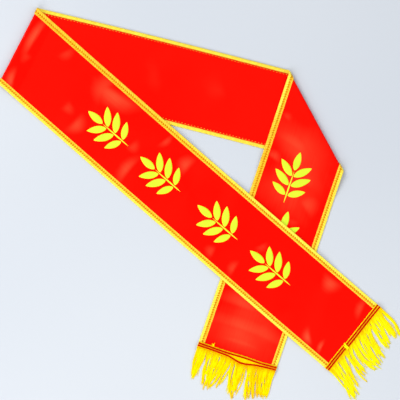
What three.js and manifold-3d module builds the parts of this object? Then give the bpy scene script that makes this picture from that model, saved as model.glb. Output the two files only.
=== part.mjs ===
// A ceremonial sash lying on a flat surface, folded over twice as it is laid out for show.
//
// One long satin band runs from the front end, over the left fold, along the middle run, over the
// right fold, to the back end. A braid is sewn along each edge of its front face and stands proud of
// the satin. Each end carries a fringe: a header band with locks of yarn, and two chain cords on it.
//
// Lengths are in millimetres and angles in degrees, anticlockwise from +X as seen from above. +Z is up
// and the sash lies on z = 0. The middle run shows the back of the band, and lies under the others.

import * as THREE from 'three';
import Module from 'manifold-3d';

const wasm = await Module();
wasm.setup();

// Clearance between pieces that touch on the real sash.
const GAP = 0.3;

// The band and what is sewn to it.
const SATIN = { width: 136, thick: 1 };
const BRAID = { width: 11.5, thick: 1.3, overhang: 7 };
const HEADER = { width: 12, thick: 1.4, past: 3, climb: 8 };
const CHAIN = { width: 1.5, thick: 1, inner: 3.4, outer: 6.9 };
const LOCK = { length: 60, thick: 1.8, fall: 16, spread: 1.6, seam: 1.5 };

// The runs of the band as they lie. A run's turn is how far it bends in the plane along its length.
const MIDDLE_HEADING = -13.1;
const MIDDLE = { length: 547, turn: -1.8 };
const FRONT = { length: 769, turn: 1, endSkew: 1.2 };
const BACK = { length: 399, turn: -0.8, endSkew: 1.3 };

// How far each crease is turned from square to the band, and the shape of the roll at both. The slope
// share is how much of the last way down, to what lies beneath, is done before the roll eases level.
const LEFT_CREASE = -14.2;
const RIGHT_CREASE = 43.3;
const ROLL = { radius: 3.5, dip: 10, easeRadius: 40, slopeShare: 0.7 };

// How the band comes down off a layer under it: level for a margin past the edge, then down over a reach.
const STEP_DOWN = { margin: 12, reach: 55 };

// Spacing of the sections along the band, and the steps round a roll.
const SECTION_STEP = 27;
const ROLL_STEPS = 8;
const EASE_STEPS = 2;
const SATIN_COLUMNS = 7;
const HEADER_COLUMNS = 12;
const LOCK_SECTIONS = 4;

// The braid's section: two ribs with a groove between them, as shares of its width and thickness.
const BRAID_SECTION = [
  { across: 0, rise: 0.5 },
  { across: 0.25, rise: 1 },
  { across: 0.5, rise: 0.6 },
  { across: 0.75, rise: 1 },
  { across: 1, rise: 0.5 },
];

// The header's section and a chain cord's, as shares of their width and thickness.
const HEADER_SECTION = [
  { along: 0, rise: 0.6 },
  { along: 0.12, rise: 1 },
  { along: 0.88, rise: 1 },
  { along: 1, rise: 0.7 },
];
const CHAIN_SECTION = [
  { along: 0, rise: 0.4 },
  { along: 0.5, rise: 1 },
  { along: 1, rise: 0.4 },
];

// Low swells of the satin where it doesn't lie quite flat. Along is a share of the run's length and
// across a share of the half width; rise is a share of RIPPLE.rise, and long and wide of RIPPLE.size.
const RIPPLE = { rise: 1.6, size: 100, endClear: 40 };
const FRONT_RIPPLES = [
  { along: 0.2, across: 0.4, rise: 1, long: 0.7, wide: 0.8 },
  { along: 0.16, across: -0.6, rise: 0.6, long: 0.6, wide: 0.6 },
  { along: 0.36, across: -0.5, rise: 0.8, long: 0.7, wide: 0.7 },
  { along: 0.47, across: 0.6, rise: 0.7, long: 0.6, wide: 0.6 },
  { along: 0.63, across: -0.3, rise: 0.5, long: 0.7, wide: 0.6 },
  { along: 0.83, across: -0.7, rise: 0.8, long: 0.5, wide: 0.5 },
  { along: 0.86, across: 0.6, rise: 0.9, long: 0.6, wide: 0.6 },
];
const BACK_RIPPLES = [
  { along: 0.16, across: 0.2, rise: 0.9, long: 0.8, wide: 0.9 },
  { along: 0.3, across: -0.5, rise: 0.8, long: 0.6, wide: 0.7 },
  { along: 0.86, across: -0.2, rise: 0.7, long: 0.5, wide: 1 },
];
const MIDDLE_RIPPLES = [
  { along: 0.5, across: 0.4, rise: 0.6, long: 0.9, wide: 0.9 },
  { along: 0.68, across: -0.3, rise: 0.5, long: 0.7, wide: 0.7 },
];

// Each fringe's header as it is sewn: how far its inner and outer edges, with the chain cord beside
// each, stray from a straight line. Across is a share of the half width, and the strays of HEADER.width.
const FRONT_HEADER = [
  { across: -1, inner: -0.02, outer: 0 },
  { across: -0.32, inner: -0.04, outer: -0.04 },
  { across: -0.22, inner: 0.05, outer: 0.08 },
  { across: 0.5, inner: 0, outer: 0 },
  { across: 1, inner: -0.08, outer: -0.03 },
];
const BACK_HEADER = [
  { across: -1, inner: 0, outer: 0 },
  { across: -0.55, inner: 0.12, outer: 0.2 },
  { across: -0.15, inner: 0.06, outer: 0.6 },
  { across: 0.25, inner: 0.12, outer: 0.14 },
  { across: 1, inner: 0, outer: 0 },
];

// The locks of each fringe from the -1 edge to the +1 edge. Lean is at the tip, in degrees towards the
// run's left, and long is a share of LOCK.length.
const FRONT_LOCKS = [
  { across: -0.96, long: 1.1, lean: -14 },
  { across: -0.83, long: 1.2, lean: -22 },
  { across: -0.69, long: 0.98, lean: -20 },
  { across: -0.56, long: 1.05, lean: -4 },
  { across: -0.42, long: 0.93, lean: -8 },
  { across: -0.28, long: 1.02, lean: 5 },
  { across: -0.14, long: 1.12, lean: 2 },
  { across: 0, long: 1.12, lean: -13 },
  { across: 0.14, long: 0.98, lean: -8 },
  { across: 0.28, long: 1.05, lean: -16 },
  { across: 0.42, long: 0.92, lean: -12 },
  { across: 0.56, long: 0.98, lean: -19 },
  { across: 0.69, long: 0.84, lean: -20 },
  { across: 0.83, long: 1.05, lean: -25 },
  { across: 0.96, long: 1.08, lean: -22 },
];
const BACK_LOCKS = [
  { across: -0.96, long: 0.9, lean: 2 },
  { across: -0.83, long: 0.82, lean: 16 },
  { across: -0.69, long: 0.88, lean: 20 },
  { across: -0.56, long: 1, lean: 22 },
  { across: -0.42, long: 1.08, lean: 14 },
  { across: -0.28, long: 1, lean: -10 },
  { across: -0.14, long: 0.92, lean: 8 },
  { across: 0, long: 1.12, lean: 18 },
  { across: 0.14, long: 0.95, lean: -6 },
  { across: 0.28, long: 1.1, lean: -14 },
  { across: 0.42, long: 1.02, lean: -18 },
  { across: 0.56, long: 1.15, lean: 10 },
  { across: 0.69, long: 1.08, lean: 14 },
  { across: 0.83, long: 0.98, lean: -4 },
  { across: 0.96, long: 0.9, lean: 12 },
];

// How a lock narrows and thins from root to tip, as shares of its width and thickness. It is full from
// the swell on, which is a share of its length, and its root is inset in the header by a length.
const LOCK_TAPER = { tipWidth: 0.45, tipThick: 0.6, edgeThick: 0.45, swell: 0.3, rootInset: 0.2 };

// Sizes that follow from the driving ones.
const FULL_WIDTH = SATIN.width + 2 * BRAID.overhang;
const HALF_WIDTH = FULL_WIDTH / 2;
const BRAID_INNER = HALF_WIDTH - BRAID.width;
const OVER_BRAID = SATIN.thick + GAP + BRAID.thick + GAP;
const MIDDLE_Z = BRAID.thick + GAP + SATIN.thick / 2;
const OVER_MIDDLE = MIDDLE_Z + SATIN.thick / 2 + GAP;

const radians = THREE.MathUtils.degToRad;
const rise = (from, to, x) => THREE.MathUtils.smoothstep(x, from, to);
const mix = THREE.MathUtils.lerp;
const shares = (count) => Array.from({ length: count + 1 }, (_, i) => i / count);

// A stretch of the band in plan: a gentle arc. Its side is 1 where the band's +1 edge lies to the left.
class Run {
  constructor({ x, y, heading, side }, { length, turn }) {
    Object.assign(this, { x, y, heading, side, length, turn });
  }

  headingAt(along) {
    return this.heading + (this.turn * along) / this.length;
  }

  // The point that far along the run and that far across the band, towards its +1 edge.
  plan(along, across) {
    const half = radians(this.turn * along) / this.length / 2;
    const chord = half === 0 ? along : (along * Math.sin(half)) / half;
    const aim = radians(this.heading) + half;
    const here = radians(this.headingAt(along));
    const left = this.side * across;
    return [
      this.x + chord * Math.cos(aim) - left * Math.sin(here),
      this.y + chord * Math.sin(aim) + left * Math.cos(here),
    ];
  }

  // How far a point in plan lies outside the full width of this run, with negative values inside it.
  outside(x, y) {
    let along = 0;
    let off = 0;
    for (let pass = 0; pass < 4; pass += 1) {
      const [cx, cy] = this.plan(along, 0);
      const here = radians(this.headingAt(along));
      along += (x - cx) * Math.cos(here) + (y - cy) * Math.sin(here);
      off = (y - cy) * Math.cos(here) - (x - cx) * Math.sin(here);
    }
    return Math.abs(off) - HALF_WIDTH;
  }
}

// How much of a layer's height is left at a distance outside its edge.
const stepDown = (outside) => 1 - rise(STEP_DOWN.margin, STEP_DOWN.reach, outside);

// The half section of a roll, as its distance out from the crease's start, its height above the middle
// run and the share of its way down, against the length of cloth that it has used.
function rollSection() {
  const dip = radians(ROLL.dip);
  const top = ROLL.radius * (1 + Math.cos(dip));
  const easeDrop = ROLL.easeRadius * (1 - Math.cos(dip));
  const slope = (top - easeDrop - (OVER_MIDDLE + SATIN.thick / 2 - MIDDLE_Z)) / Math.sin(dip);
  const points = [];
  shares(ROLL_STEPS).forEach((share) => {
    const angle = share * (Math.PI + dip);
    points.push({
      used: ROLL.radius * angle,
      out: ROLL.radius * Math.sin(angle),
      up: ROLL.radius * (1 - Math.cos(angle)),
      settled: 0,
    });
  });
  const crest = points[points.length - 1];
  shares(EASE_STEPS).slice(1).forEach((share) => {
    points.push({
      used: crest.used + share * slope,
      out: crest.out - share * slope * Math.cos(dip),
      up: crest.up - share * slope * Math.sin(dip),
      settled: ROLL.slopeShare * rise(0, 1, share),
    });
  });
  const foot = points[points.length - 1];
  shares(EASE_STEPS).slice(1).forEach((share) => {
    const left = dip * (1 - share);
    points.push({
      used: foot.used + share * ROLL.easeRadius * dip,
      out: foot.out - ROLL.easeRadius * (Math.sin(dip) - Math.sin(left)),
      up: foot.up - ROLL.easeRadius * (Math.cos(left) - Math.cos(dip)),
      settled: mix(foot.settled, 1, share),
    });
  });
  return points;
}

// Folds the band over at a crease. The crease starts at the entry, which is where the run before it
// ends, and the exit is where the run after it starts. Each ruling is a straight line of the cloth
// along the crease.
function foldOver(entry, skew, bed) {
  const outward = radians(entry.heading + skew);
  const lean = Math.tan(radians(skew));
  const reach = 1 / Math.cos(radians(skew));
  const [gx, gy] = [Math.cos(outward), Math.sin(outward)];
  const [fx, fy] = [gy, -gx];
  const section = rollSection();
  const rulings = section.map(({ used, out, up, settled }) => {
    const x = entry.x + gx * out + fx * used * lean;
    const y = entry.y + gy * out + fy * used * lean;
    const plan = (across) => [
      x - entry.side * across * reach * fx,
      y - entry.side * across * reach * fy,
    ];
    return (across) => {
      const [px, py] = plan(across);
      const sunk = OVER_MIDDLE - bed(px, py);
      return new THREE.Vector3(px, py, MIDDLE_Z + up - settled * sunk);
    };
  });
  const last = section[section.length - 1];
  return {
    rulings,
    leanIn: -lean,
    leanOut: lean,
    exit: {
      x: entry.x + gx * last.out + fx * last.used * lean,
      y: entry.y + gy * last.out + fy * last.used * lean,
      heading: entry.heading - 180 + 2 * skew,
      side: -entry.side,
    },
  };
}

// The height of a run's swells at a place on it.
function swell(ripples, run, along, across) {
  const size = RIPPLE.size;
  const fade = rise(0, RIPPLE.endClear, along) * rise(0, RIPPLE.endClear, run.length - along);
  const heights = ripples.map((r) => {
    const da = (along - r.along * run.length) / (r.long * size);
    const dt = (across - (r.across * SATIN.width) / 2) / (r.wide * size);
    return r.rise * RIPPLE.rise * (1 - rise(0, 0.5, Math.hypot(da, dt)));
  });
  return fade * Math.max(0, ...heights);
}

// The rulings of a run, with their lean going evenly from its start to its end.
function runRulings(run, leanStart, leanEnd, height) {
  const count = Math.max(4, Math.round(run.length / SECTION_STEP));
  return shares(count).map((share) => (across) => {
    const lean = mix(leanStart, leanEnd, share);
    const along = share * run.length + lean * run.side * across;
    const [x, y] = run.plan(along, across);
    return new THREE.Vector3(x, y, height(x, y, along, across));
  });
}

// The layout: the middle run first, then outwards over each fold.
const middle = new Run({ x: 0, y: 0, heading: MIDDLE_HEADING, side: 1 }, MIDDLE);
const [rightX, rightY] = middle.plan(MIDDLE.length, 0);
const offMiddle = (x, y) => OVER_MIDDLE * stepDown(middle.outside(x, y));
const rightFold = foldOver(
  { x: rightX, y: rightY, heading: middle.headingAt(MIDDLE.length), side: 1 },
  RIGHT_CREASE,
  offMiddle,
);
const back = new Run(rightFold.exit, BACK);
const backBed = offMiddle;
const frontBed = (x, y) => {
  const overBack = (backBed(x, y) + OVER_BRAID) * stepDown(back.outside(x, y));
  return Math.max(offMiddle(x, y), overBack);
};
const leftFold = foldOver(
  { x: 0, y: 0, heading: MIDDLE_HEADING + 180, side: -1 },
  LEFT_CREASE,
  frontBed,
);
const front = new Run(leftFold.exit, FRONT);

// Swells stop short of where the front or the back run lies on a layer.
const clearOf = (run, x, y) => 1 - stepDown(run.outside(x, y));
const middleHeight = (x, y, along, across) => MIDDLE_Z + clearOf(front, x, y)
  * clearOf(back, x, y) * swell(MIDDLE_RIPPLES, middle, along, across);
const backHeight = (x, y, along, across) => backBed(x, y) + SATIN.thick / 2
  + clearOf(front, x, y) * swell(BACK_RIPPLES, back, along, across);
const frontHeight = (x, y, along, across) => frontBed(x, y) + SATIN.thick / 2
  + swell(FRONT_RIPPLES, front, along, across);

// The whole band's rulings in order, from the front end to the back end.
const frontEndLean = -Math.tan(radians(FRONT.endSkew));
const backEndLean = -Math.tan(radians(BACK.endSkew));
const frontRulings = runRulings(front, leftFold.leanOut, frontEndLean, frontHeight);
const middleRulings = runRulings(middle, leftFold.leanIn, rightFold.leanIn, middleHeight);
const backRulings = runRulings(back, rightFold.leanOut, backEndLean, backHeight);
const BAND = [
  ...frontRulings.reverse(),
  ...leftFold.rulings.reverse().slice(1),
  ...middleRulings.slice(1),
  ...rightFold.rulings.slice(1),
  ...backRulings.slice(1),
];

// The lengths that each braid is laid in, from ruling to ruling: the runs, and the folds between them.
const FRONT_END = frontRulings.length - 1;
const MIDDLE_START = FRONT_END + leftFold.rulings.length - 1;
const MIDDLE_END = MIDDLE_START + middleRulings.length - 1;
const BACK_START = MIDDLE_END + rightFold.rulings.length - 1;
const LENGTHS = {
  front: [0, FRONT_END],
  left_fold: [FRONT_END, MIDDLE_START],
  middle: [MIDDLE_START, MIDDLE_END],
  right_fold: [MIDDLE_END, BACK_START],
  back: [BACK_START, BAND.length - 1],
};

// The point of the band on a ruling, moved off its mid-surface towards the front face.
function bandPoint(i, across, off) {
  const before = BAND[Math.max(0, i - 1)](across);
  const after = BAND[Math.min(BAND.length - 1, i + 1)](across);
  const side = BAND[i](across + 1).sub(BAND[i](across - 1));
  const normal = side.cross(after.sub(before)).normalize();
  return BAND[i](across).addScaledVector(normal, off);
}

// A closed solid between two grids of points. The upper grid lies on the side that rows crossed with
// columns point to.
function slab(upper, lower) {
  const rows = upper.length;
  const columns = upper[0].length;
  const corners = [...upper.flat(), ...lower.flat()];
  const top = (i, j) => i * columns + j;
  const under = (i, j) => rows * columns + top(i, j);
  const faces = [];
  const quad = (a, b, c, d) => faces.push(a, b, c, a, c, d);
  for (let i = 0; i < rows - 1; i += 1) {
    for (let j = 0; j < columns - 1; j += 1) {
      quad(top(i, j), top(i + 1, j), top(i + 1, j + 1), top(i, j + 1));
      quad(under(i, j), under(i, j + 1), under(i + 1, j + 1), under(i + 1, j));
    }
    quad(under(i, 0), under(i + 1, 0), top(i + 1, 0), top(i, 0));
    quad(top(i, columns - 1), top(i + 1, columns - 1), under(i + 1, columns - 1), under(i, columns - 1));
  }
  for (let j = 0; j < columns - 1; j += 1) {
    quad(top(0, j), top(0, j + 1), under(0, j + 1), under(0, j));
    quad(under(rows - 1, j), under(rows - 1, j + 1), top(rows - 1, j + 1), top(rows - 1, j));
  }
  const geometry = new THREE.BufferGeometry();
  geometry.setAttribute('position', new THREE.Float32BufferAttribute(corners.flatMap((p) => p.toArray()), 3));
  geometry.setIndex(faces);
  return geometry;
}

// The satin band: one folded strip of even thickness.
function satinBand() {
  const columns = [
    -SATIN.width / 2,
    ...shares(SATIN_COLUMNS - 1).map((share) => mix(-BRAID_INNER, BRAID_INNER, share)),
    SATIN.width / 2,
  ];
  const face = (off) => BAND.map((_, i) => columns.map((across) => bandPoint(i, across, off)));
  return slab(face(-SATIN.thick / 2), face(SATIN.thick / 2));
}

// Moves the first and the last of some rows of points towards their neighbours, by half of the gap.
function shortened(rows) {
  const ends = [[0, 1], [rows.length - 1, rows.length - 2]];
  ends.forEach(([end, next]) => rows[end].forEach((point, k) => {
    const other = rows[next][k];
    point.lerp(other, GAP / 2 / point.distanceTo(other));
  }));
  return rows;
}

// A length of the braid along one edge of the front face, between two rulings. Edge is 1 or -1.
function braid(edge, from, to) {
  const section = BRAID_SECTION.map(({ across, rise: height }) => ({
    across: edge * mix(BRAID_INNER, HALF_WIDTH, across),
    top: SATIN.thick / 2 + GAP + height * BRAID.thick,
  }));
  if (edge < 0) section.reverse();
  const rulings = shares(to - from).map((_, k) => from + k);
  const seat = rulings.map((i) => section.map((p) => bandPoint(i, p.across, SATIN.thick / 2 + GAP)));
  const crown = rulings.map((i) => section.map((p) => bandPoint(i, p.across, p.top)));
  return slab(shortened(seat), shortened(crown));
}

// Reads a table at a place across the band, in straight lines between its rows.
function read(table, column, across) {
  const next = Math.max(1, table.findIndex((row) => row.across >= across));
  const [a, b] = [table[next - 1], table[next]];
  return mix(a[column], b[column], (across - a.across) / (b.across - a.across));
}

// One end of the band, where a fringe is sewn on.
class End {
  constructor(run, lean, bed, header, locks) {
    Object.assign(this, { run, lean, bed, header, locks });
  }

  // The point in plan that far past the satin's end, at a share of the half width.
  place(past, share) {
    const across = share * HALF_WIDTH;
    return this.run.plan(this.run.length + past + this.lean * this.run.side * across, across);
  }

  // How high the header's underside rides over the satin, and over the braids at the edges.
  seat(share) {
    const onBraid = rise(BRAID_INNER - HEADER.climb, BRAID_INNER - GAP, Math.abs(share) * HALF_WIDTH);
    return SATIN.thick + GAP + onBraid * (BRAID.thick + GAP);
  }

  stray(column, share) {
    return HEADER.width * read(this.header, column, share);
  }

  point(past, share, up) {
    const [x, y] = this.place(past, share);
    return new THREE.Vector3(x, y, this.bed(x, y) + up);
  }

  // The places across the header where it is sectioned: evenly, and where it climbs onto the braids.
  columns() {
    const inner = BRAID_INNER / HALF_WIDTH;
    const climb = (BRAID_INNER - HEADER.climb) / HALF_WIDTH;
    const even = shares(HEADER_COLUMNS).map((share) => 2 * share - 1);
    const all = [...even.filter((share) => Math.abs(share) < climb || Math.abs(share) === 1), climb, inner];
    return [...all, -climb, -inner].sort((a, b) => a - b);
  }

  // A strip across the end, between two lines that are given as lengths past the satin's end. Its
  // underside is at a base height over the header's seat.
  strip({ from, to, base, thick, section }) {
    const rows = (rises) => this.columns().map((share) => section.map(({ along, rise: height }) => {
      const past = mix(from(share), to(share), along);
      return this.point(past, share, this.seat(share) + base + rises * height * thick);
    }));
    return this.run.side > 0 ? slab(rows(0), rows(1)) : slab(rows(1), rows(0));
  }

  headerBand() {
    return this.strip({
      from: (share) => HEADER.past - HEADER.width + this.stray('inner', share),
      to: (share) => HEADER.past + this.stray('outer', share),
      base: 0,
      thick: HEADER.thick,
      section: HEADER_SECTION,
    });
  }

  // One of the header's two chain cords, which column names.
  chain(column) {
    const line = (share) => HEADER.past - HEADER.width + CHAIN[column] + this.stray(column, share);
    return this.strip({
      from: (share) => line(share) - CHAIN.width / 2,
      to: (share) => line(share) + CHAIN.width / 2,
      base: HEADER.thick + GAP,
      thick: CHAIN.thick,
      section: CHAIN_SECTION,
    });
  }

  // A lock of yarn that starts inside the header's outer edge, drops to the surface and tapers.
  lock({ across, long, lean }) {
    const wide = (LOCK.spread * FULL_WIDTH) / this.locks.length;
    const share = across * (1 - wide / FULL_WIDTH / 2);
    const start = HEADER.past + this.stray('outer', share) - LOCK.seam;
    const length = long * LOCK.length;
    const seat = this.seat(share) + LOCK_TAPER.rootInset;
    const rootThick = HEADER.thick - 2 * LOCK_TAPER.rootInset;
    const heading = this.run.headingAt(this.run.length);
    const [tops, seats] = [[], []];
    let [x, y] = this.place(start, share);
    shares(LOCK_SECTIONS).forEach((f) => {
      const aim = radians(heading + lean * f);
      if (f > 0) {
        x += (Math.cos(aim) * length) / LOCK_SECTIONS;
        y += (Math.sin(aim) * length) / LOCK_SECTIONS;
      }
      const low = seat * (1 - rise(0, LOCK.fall, f * length));
      const full = mix(rootThick, LOCK.thick, rise(0, LOCK_TAPER.swell, f))
        * mix(1, LOCK_TAPER.tipThick, f * f);
      const half = (wide / 2) * mix(1, LOCK_TAPER.tipWidth, f * f);
      const at = (off, up) => {
        const px = x - off * Math.sin(aim);
        const py = y + off * Math.cos(aim);
        return new THREE.Vector3(px, py, this.bed(px, py) + low + up);
      };
      tops.push([-half, 0, half].map((off, k) => at(off, full * (k === 1 ? 1 : LOCK_TAPER.edgeThick))));
      seats.push([-half, 0, half].map((off) => at(off, 0)));
    });
    return slab(tops, seats);
  }

  // The fringe: its locks fused to the header band.
  fringe() {
    const pieces = [this.headerBand(), ...this.locks.map((row) => this.lock(row))];
    return pieces.map(solid).reduce((whole, piece) => whole.add(piece));
  }
}

// A closed geometry as a manifold-3d solid, and back.
function solid(geometry) {
  return new wasm.Manifold(new wasm.Mesh({
    numProp: 3,
    vertProperties: geometry.attributes.position.array,
    triVerts: new Uint32Array(geometry.index.array),
  }));
}

function geometryOf(manifold) {
  const mesh = manifold.getMesh();
  const geometry = new THREE.BufferGeometry();
  geometry.setAttribute('position', new THREE.BufferAttribute(mesh.vertProperties, 3));
  geometry.setIndex(new THREE.BufferAttribute(mesh.triVerts, 1));
  return geometry;
}

function material(color, roughness) {
  return new THREE.MeshStandardMaterial({ color, roughness, metalness: 0, flatShading: true });
}

const satinRed = material(0xf01408, 0.42);
const braidGold = material(0xf6bf2a, 0.6);
const fringeYellow = material(0xfbe70a, 0.65);
const fringeAmber = material(0xf7c500, 0.65);
const chainRust = material(0xa8301a, 0.7);

const sash = new THREE.Group();

function add(name, geometry, finish) {
  const mesh = new THREE.Mesh(geometry, finish);
  mesh.name = name;
  sash.add(mesh);
}

const frontEnd = new End(front, frontEndLean, frontBed, FRONT_HEADER, FRONT_LOCKS);
const backEnd = new End(back, backEndLean, backBed, BACK_HEADER, BACK_LOCKS);

add('satin_band', satinBand(), satinRed);
Object.entries(LENGTHS).forEach(([name, [from, to]]) => {
  add(`upper_braid_${name}`, braid(1, from, to), braidGold);
  add(`lower_braid_${name}`, braid(-1, from, to), braidGold);
});
add('front_fringe', geometryOf(frontEnd.fringe()), fringeYellow);
add('back_fringe', geometryOf(backEnd.fringe()), fringeAmber);
add('front_chain_inner', frontEnd.chain('inner'), chainRust);
add('front_chain_outer', frontEnd.chain('outer'), chainRust);
add('back_chain_inner', backEnd.chain('inner'), chainRust);
add('back_chain_outer', backEnd.chain('outer'), chainRust);

// The origin is under the middle of the whole sash, on the surface that it lies on.
const box = new THREE.Box3().setFromObject(sash, true);
const centre = box.getCenter(new THREE.Vector3());
sash.position.set(-centre.x, -centre.y, -box.min.z);

export default sash;
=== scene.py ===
"""The look of a ceremonial sash: folded satin, gimp braids, chain-corded headers and yarn fringes.

Most pieces are made on the flat band first. There u runs along the band from its front end, v runs across it
towards its upper edge, and w rises off its front face. The folded band then carries them to their places.
Lengths are in metres and angles in degrees.
"""

import logging
import math
from collections.abc import Callable, Sequence
from dataclasses import dataclass, field
from enum import Enum

import bmesh
import bpy
import numpy as np
from bpy.types import Material, Mesh, Node, NodeSocket, NodeTree, Object
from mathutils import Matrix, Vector


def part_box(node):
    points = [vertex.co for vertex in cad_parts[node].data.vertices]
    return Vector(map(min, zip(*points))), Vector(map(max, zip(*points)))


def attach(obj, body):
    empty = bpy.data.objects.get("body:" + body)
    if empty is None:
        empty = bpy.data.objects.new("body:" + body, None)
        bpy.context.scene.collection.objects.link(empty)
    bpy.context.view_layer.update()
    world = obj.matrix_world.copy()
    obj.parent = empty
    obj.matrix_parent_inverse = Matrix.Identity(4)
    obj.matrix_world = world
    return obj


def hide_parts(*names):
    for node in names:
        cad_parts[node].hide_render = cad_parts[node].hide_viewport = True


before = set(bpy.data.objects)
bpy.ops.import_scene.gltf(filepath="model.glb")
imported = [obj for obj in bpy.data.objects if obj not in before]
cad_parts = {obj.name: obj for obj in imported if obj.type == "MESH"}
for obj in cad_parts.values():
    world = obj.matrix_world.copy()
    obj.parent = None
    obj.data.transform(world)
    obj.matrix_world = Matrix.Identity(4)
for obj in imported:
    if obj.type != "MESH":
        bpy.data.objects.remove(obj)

LOG = logging.getLogger("sash")
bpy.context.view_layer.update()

# The kinds of values that the functions below hand on. A bed gives a height at x and y. A height gives one at
# x, y and the lengths along and across a run. A start is x, y, heading and side.
Array = np.ndarray
Bed = Callable[[Array, Array], Array]
Height = Callable[[Array, Array, Array, Array], Array]
Start = tuple[float, float, float, int]
Colour = tuple[float, float, float]
Materials = dict[str, Material]
Pieces = list[Object]

# How often a place is moved along a run to find the nearest point of its gentle arc.
NEAREST_STEPS = 4


def ease(low: float, high: float, value: Array) -> Array:
    """Rises smoothly from 0 at low to 1 at high.

    Args:
        low: where the rise starts.
        high: where the rise ends.
        value: the numbers to read.

    Returns:
        The share of the rise at each number.
    """
    share = np.clip((value - low) / (high - low), 0.0, 1.0)
    return share * share * (3.0 - 2.0 * share)


def mix(first: Array, second: Array, share: Array) -> Array:
    """Goes evenly from the first value to the second one."""
    return first + (second - first) * share


def hump(share: Array, start: float = 0.0, end: float = 1.0) -> Array:
    """Reads a half sine wave from one share of it to another."""
    return np.sin(np.pi * mix(start, end, share))


def arch(share: Array, inset: float) -> Array:
    """Reads a half sine wave with steeper sides, from just inside one end to just inside the other."""
    return np.sqrt(np.clip(hump(share, inset, 1.0 - inset), 0.0, 1.0))


def flow(x: Array, marks: Sequence[float], values: Sequence[float]) -> Array:
    """Reads a smooth curve that passes through marked values and never swings past them.

    Args:
        x: where the curve is read.
        marks: the marked places, in rising order.
        values: the curve's value at each mark.

    Returns:
        The curve's value at each place.
    """
    marks, values = np.asarray(marks), np.asarray(values)
    rise = np.diff(values) / np.diff(marks)
    same_way = rise[:-1] * rise[1:] > 0
    before = np.where(same_way, rise[:-1], 1)
    after = np.where(same_way, rise[1:], 1)
    slopes = np.zeros_like(values)
    slopes[1:-1] = np.where(same_way, 2 / (1 / before + 1 / after), 0)
    k = np.clip(np.searchsorted(marks, x) - 1, 0, marks.size - 2)
    step = marks[k + 1] - marks[k]
    t = np.clip((x - marks[k]) / step, 0.0, 1.0)
    climb = values[k + 1] - values[k]
    bend = mix(slopes[k] * step - climb, climb - slopes[k + 1] * step, t)
    return mix(values[k], values[k + 1], t) + t * (1.0 - t) * bend


class Edge(Enum):
    """A long edge of the band, with the sign of its side of the centre line."""

    LOWER = -1
    UPPER = 1


@dataclass(frozen=True)
class Run:
    """A stretch of the band in plan: a gentle arc.

    Its side is 1 where the band's upper edge lies to the left of the way it runs.
    """

    x: float
    y: float
    heading: float
    side: int
    length: float
    turn: float

    def heading_at(self, along: Array) -> Array:
        """Gives the heading that far along, in radians."""
        return np.radians(self.heading + self.turn * along / self.length)

    def plan(self, along: Array, across: Array) -> tuple[Array, Array]:
        """Finds points of the run in plan.

        Args:
            along: the length along the run's centre line.
            across: the length across the band, towards its upper edge.

        Returns:
            The points' x and y.
        """
        half = np.radians(self.turn * along) / self.length / 2
        chord = along * np.sinc(half / np.pi)
        aim = math.radians(self.heading) + half
        here = self.heading_at(along)
        left = self.side * across
        x = self.x + chord * np.cos(aim) - left * np.sin(here)
        y = self.y + chord * np.sin(aim) + left * np.cos(here)
        return x, y

    def outside(self, x: Array, y: Array, half_width: float) -> Array:
        """Measures how far points in plan lie outside the run.

        Args:
            x: the points' x.
            y: the points' y.
            half_width: how far the run reaches to each side of its centre line.

        Returns:
            The distances, which are negative inside the run.
        """
        along = np.zeros_like(x)
        off = along
        for _ in range(NEAREST_STEPS):
            centre_x, centre_y = self.plan(along, 0.0)
            here = self.heading_at(along)
            off = (y - centre_y) * np.cos(here) - (x - centre_x) * np.sin(here)
            along = along + (x - centre_x) * np.cos(here) + (y - centre_y) * np.sin(here)
        return np.abs(off) - half_width


@dataclass(frozen=True)
class Swell:
    """A place where the satin doesn't lie quite flat.

    Along is a share of the run's length, across a share of the satin's half width, and the rest are lengths.
    """

    along: float
    across: float
    rise: float
    long: float
    wide: float


FRONT_SWELLS = (
    Swell(0.2, 0.4, 0.0016, 0.07, 0.08),
    Swell(0.16, -0.6, 0.00096, 0.06, 0.06),
    Swell(0.36, -0.5, 0.00128, 0.07, 0.07),
    Swell(0.47, 0.6, 0.00112, 0.06, 0.06),
    Swell(0.63, -0.3, 0.0008, 0.07, 0.06),
    Swell(0.83, -0.7, 0.00128, 0.05, 0.05),
    Swell(0.86, 0.6, 0.00144, 0.06, 0.06),
)
BACK_SWELLS = (
    Swell(0.16, 0.2, 0.00144, 0.08, 0.09),
    Swell(0.3, -0.5, 0.00128, 0.06, 0.07),
    Swell(0.86, -0.2, 0.00112, 0.05, 0.1),
)
MIDDLE_SWELLS = (
    Swell(0.5, 0.4, 0.00096, 0.09, 0.09),
    Swell(0.68, -0.3, 0.0008, 0.07, 0.07),
)


@dataclass
class Ruling:
    """A stretch of the band as rows of points: their places, and how far along the band each lies."""

    x: Array
    y: Array
    z: Array
    along: Array

    def reversed(self) -> "Ruling":
        """Gives the same rows in the opposite order."""
        return Ruling(self.x[::-1], self.y[::-1], self.z[::-1], self.along[::-1])


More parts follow.
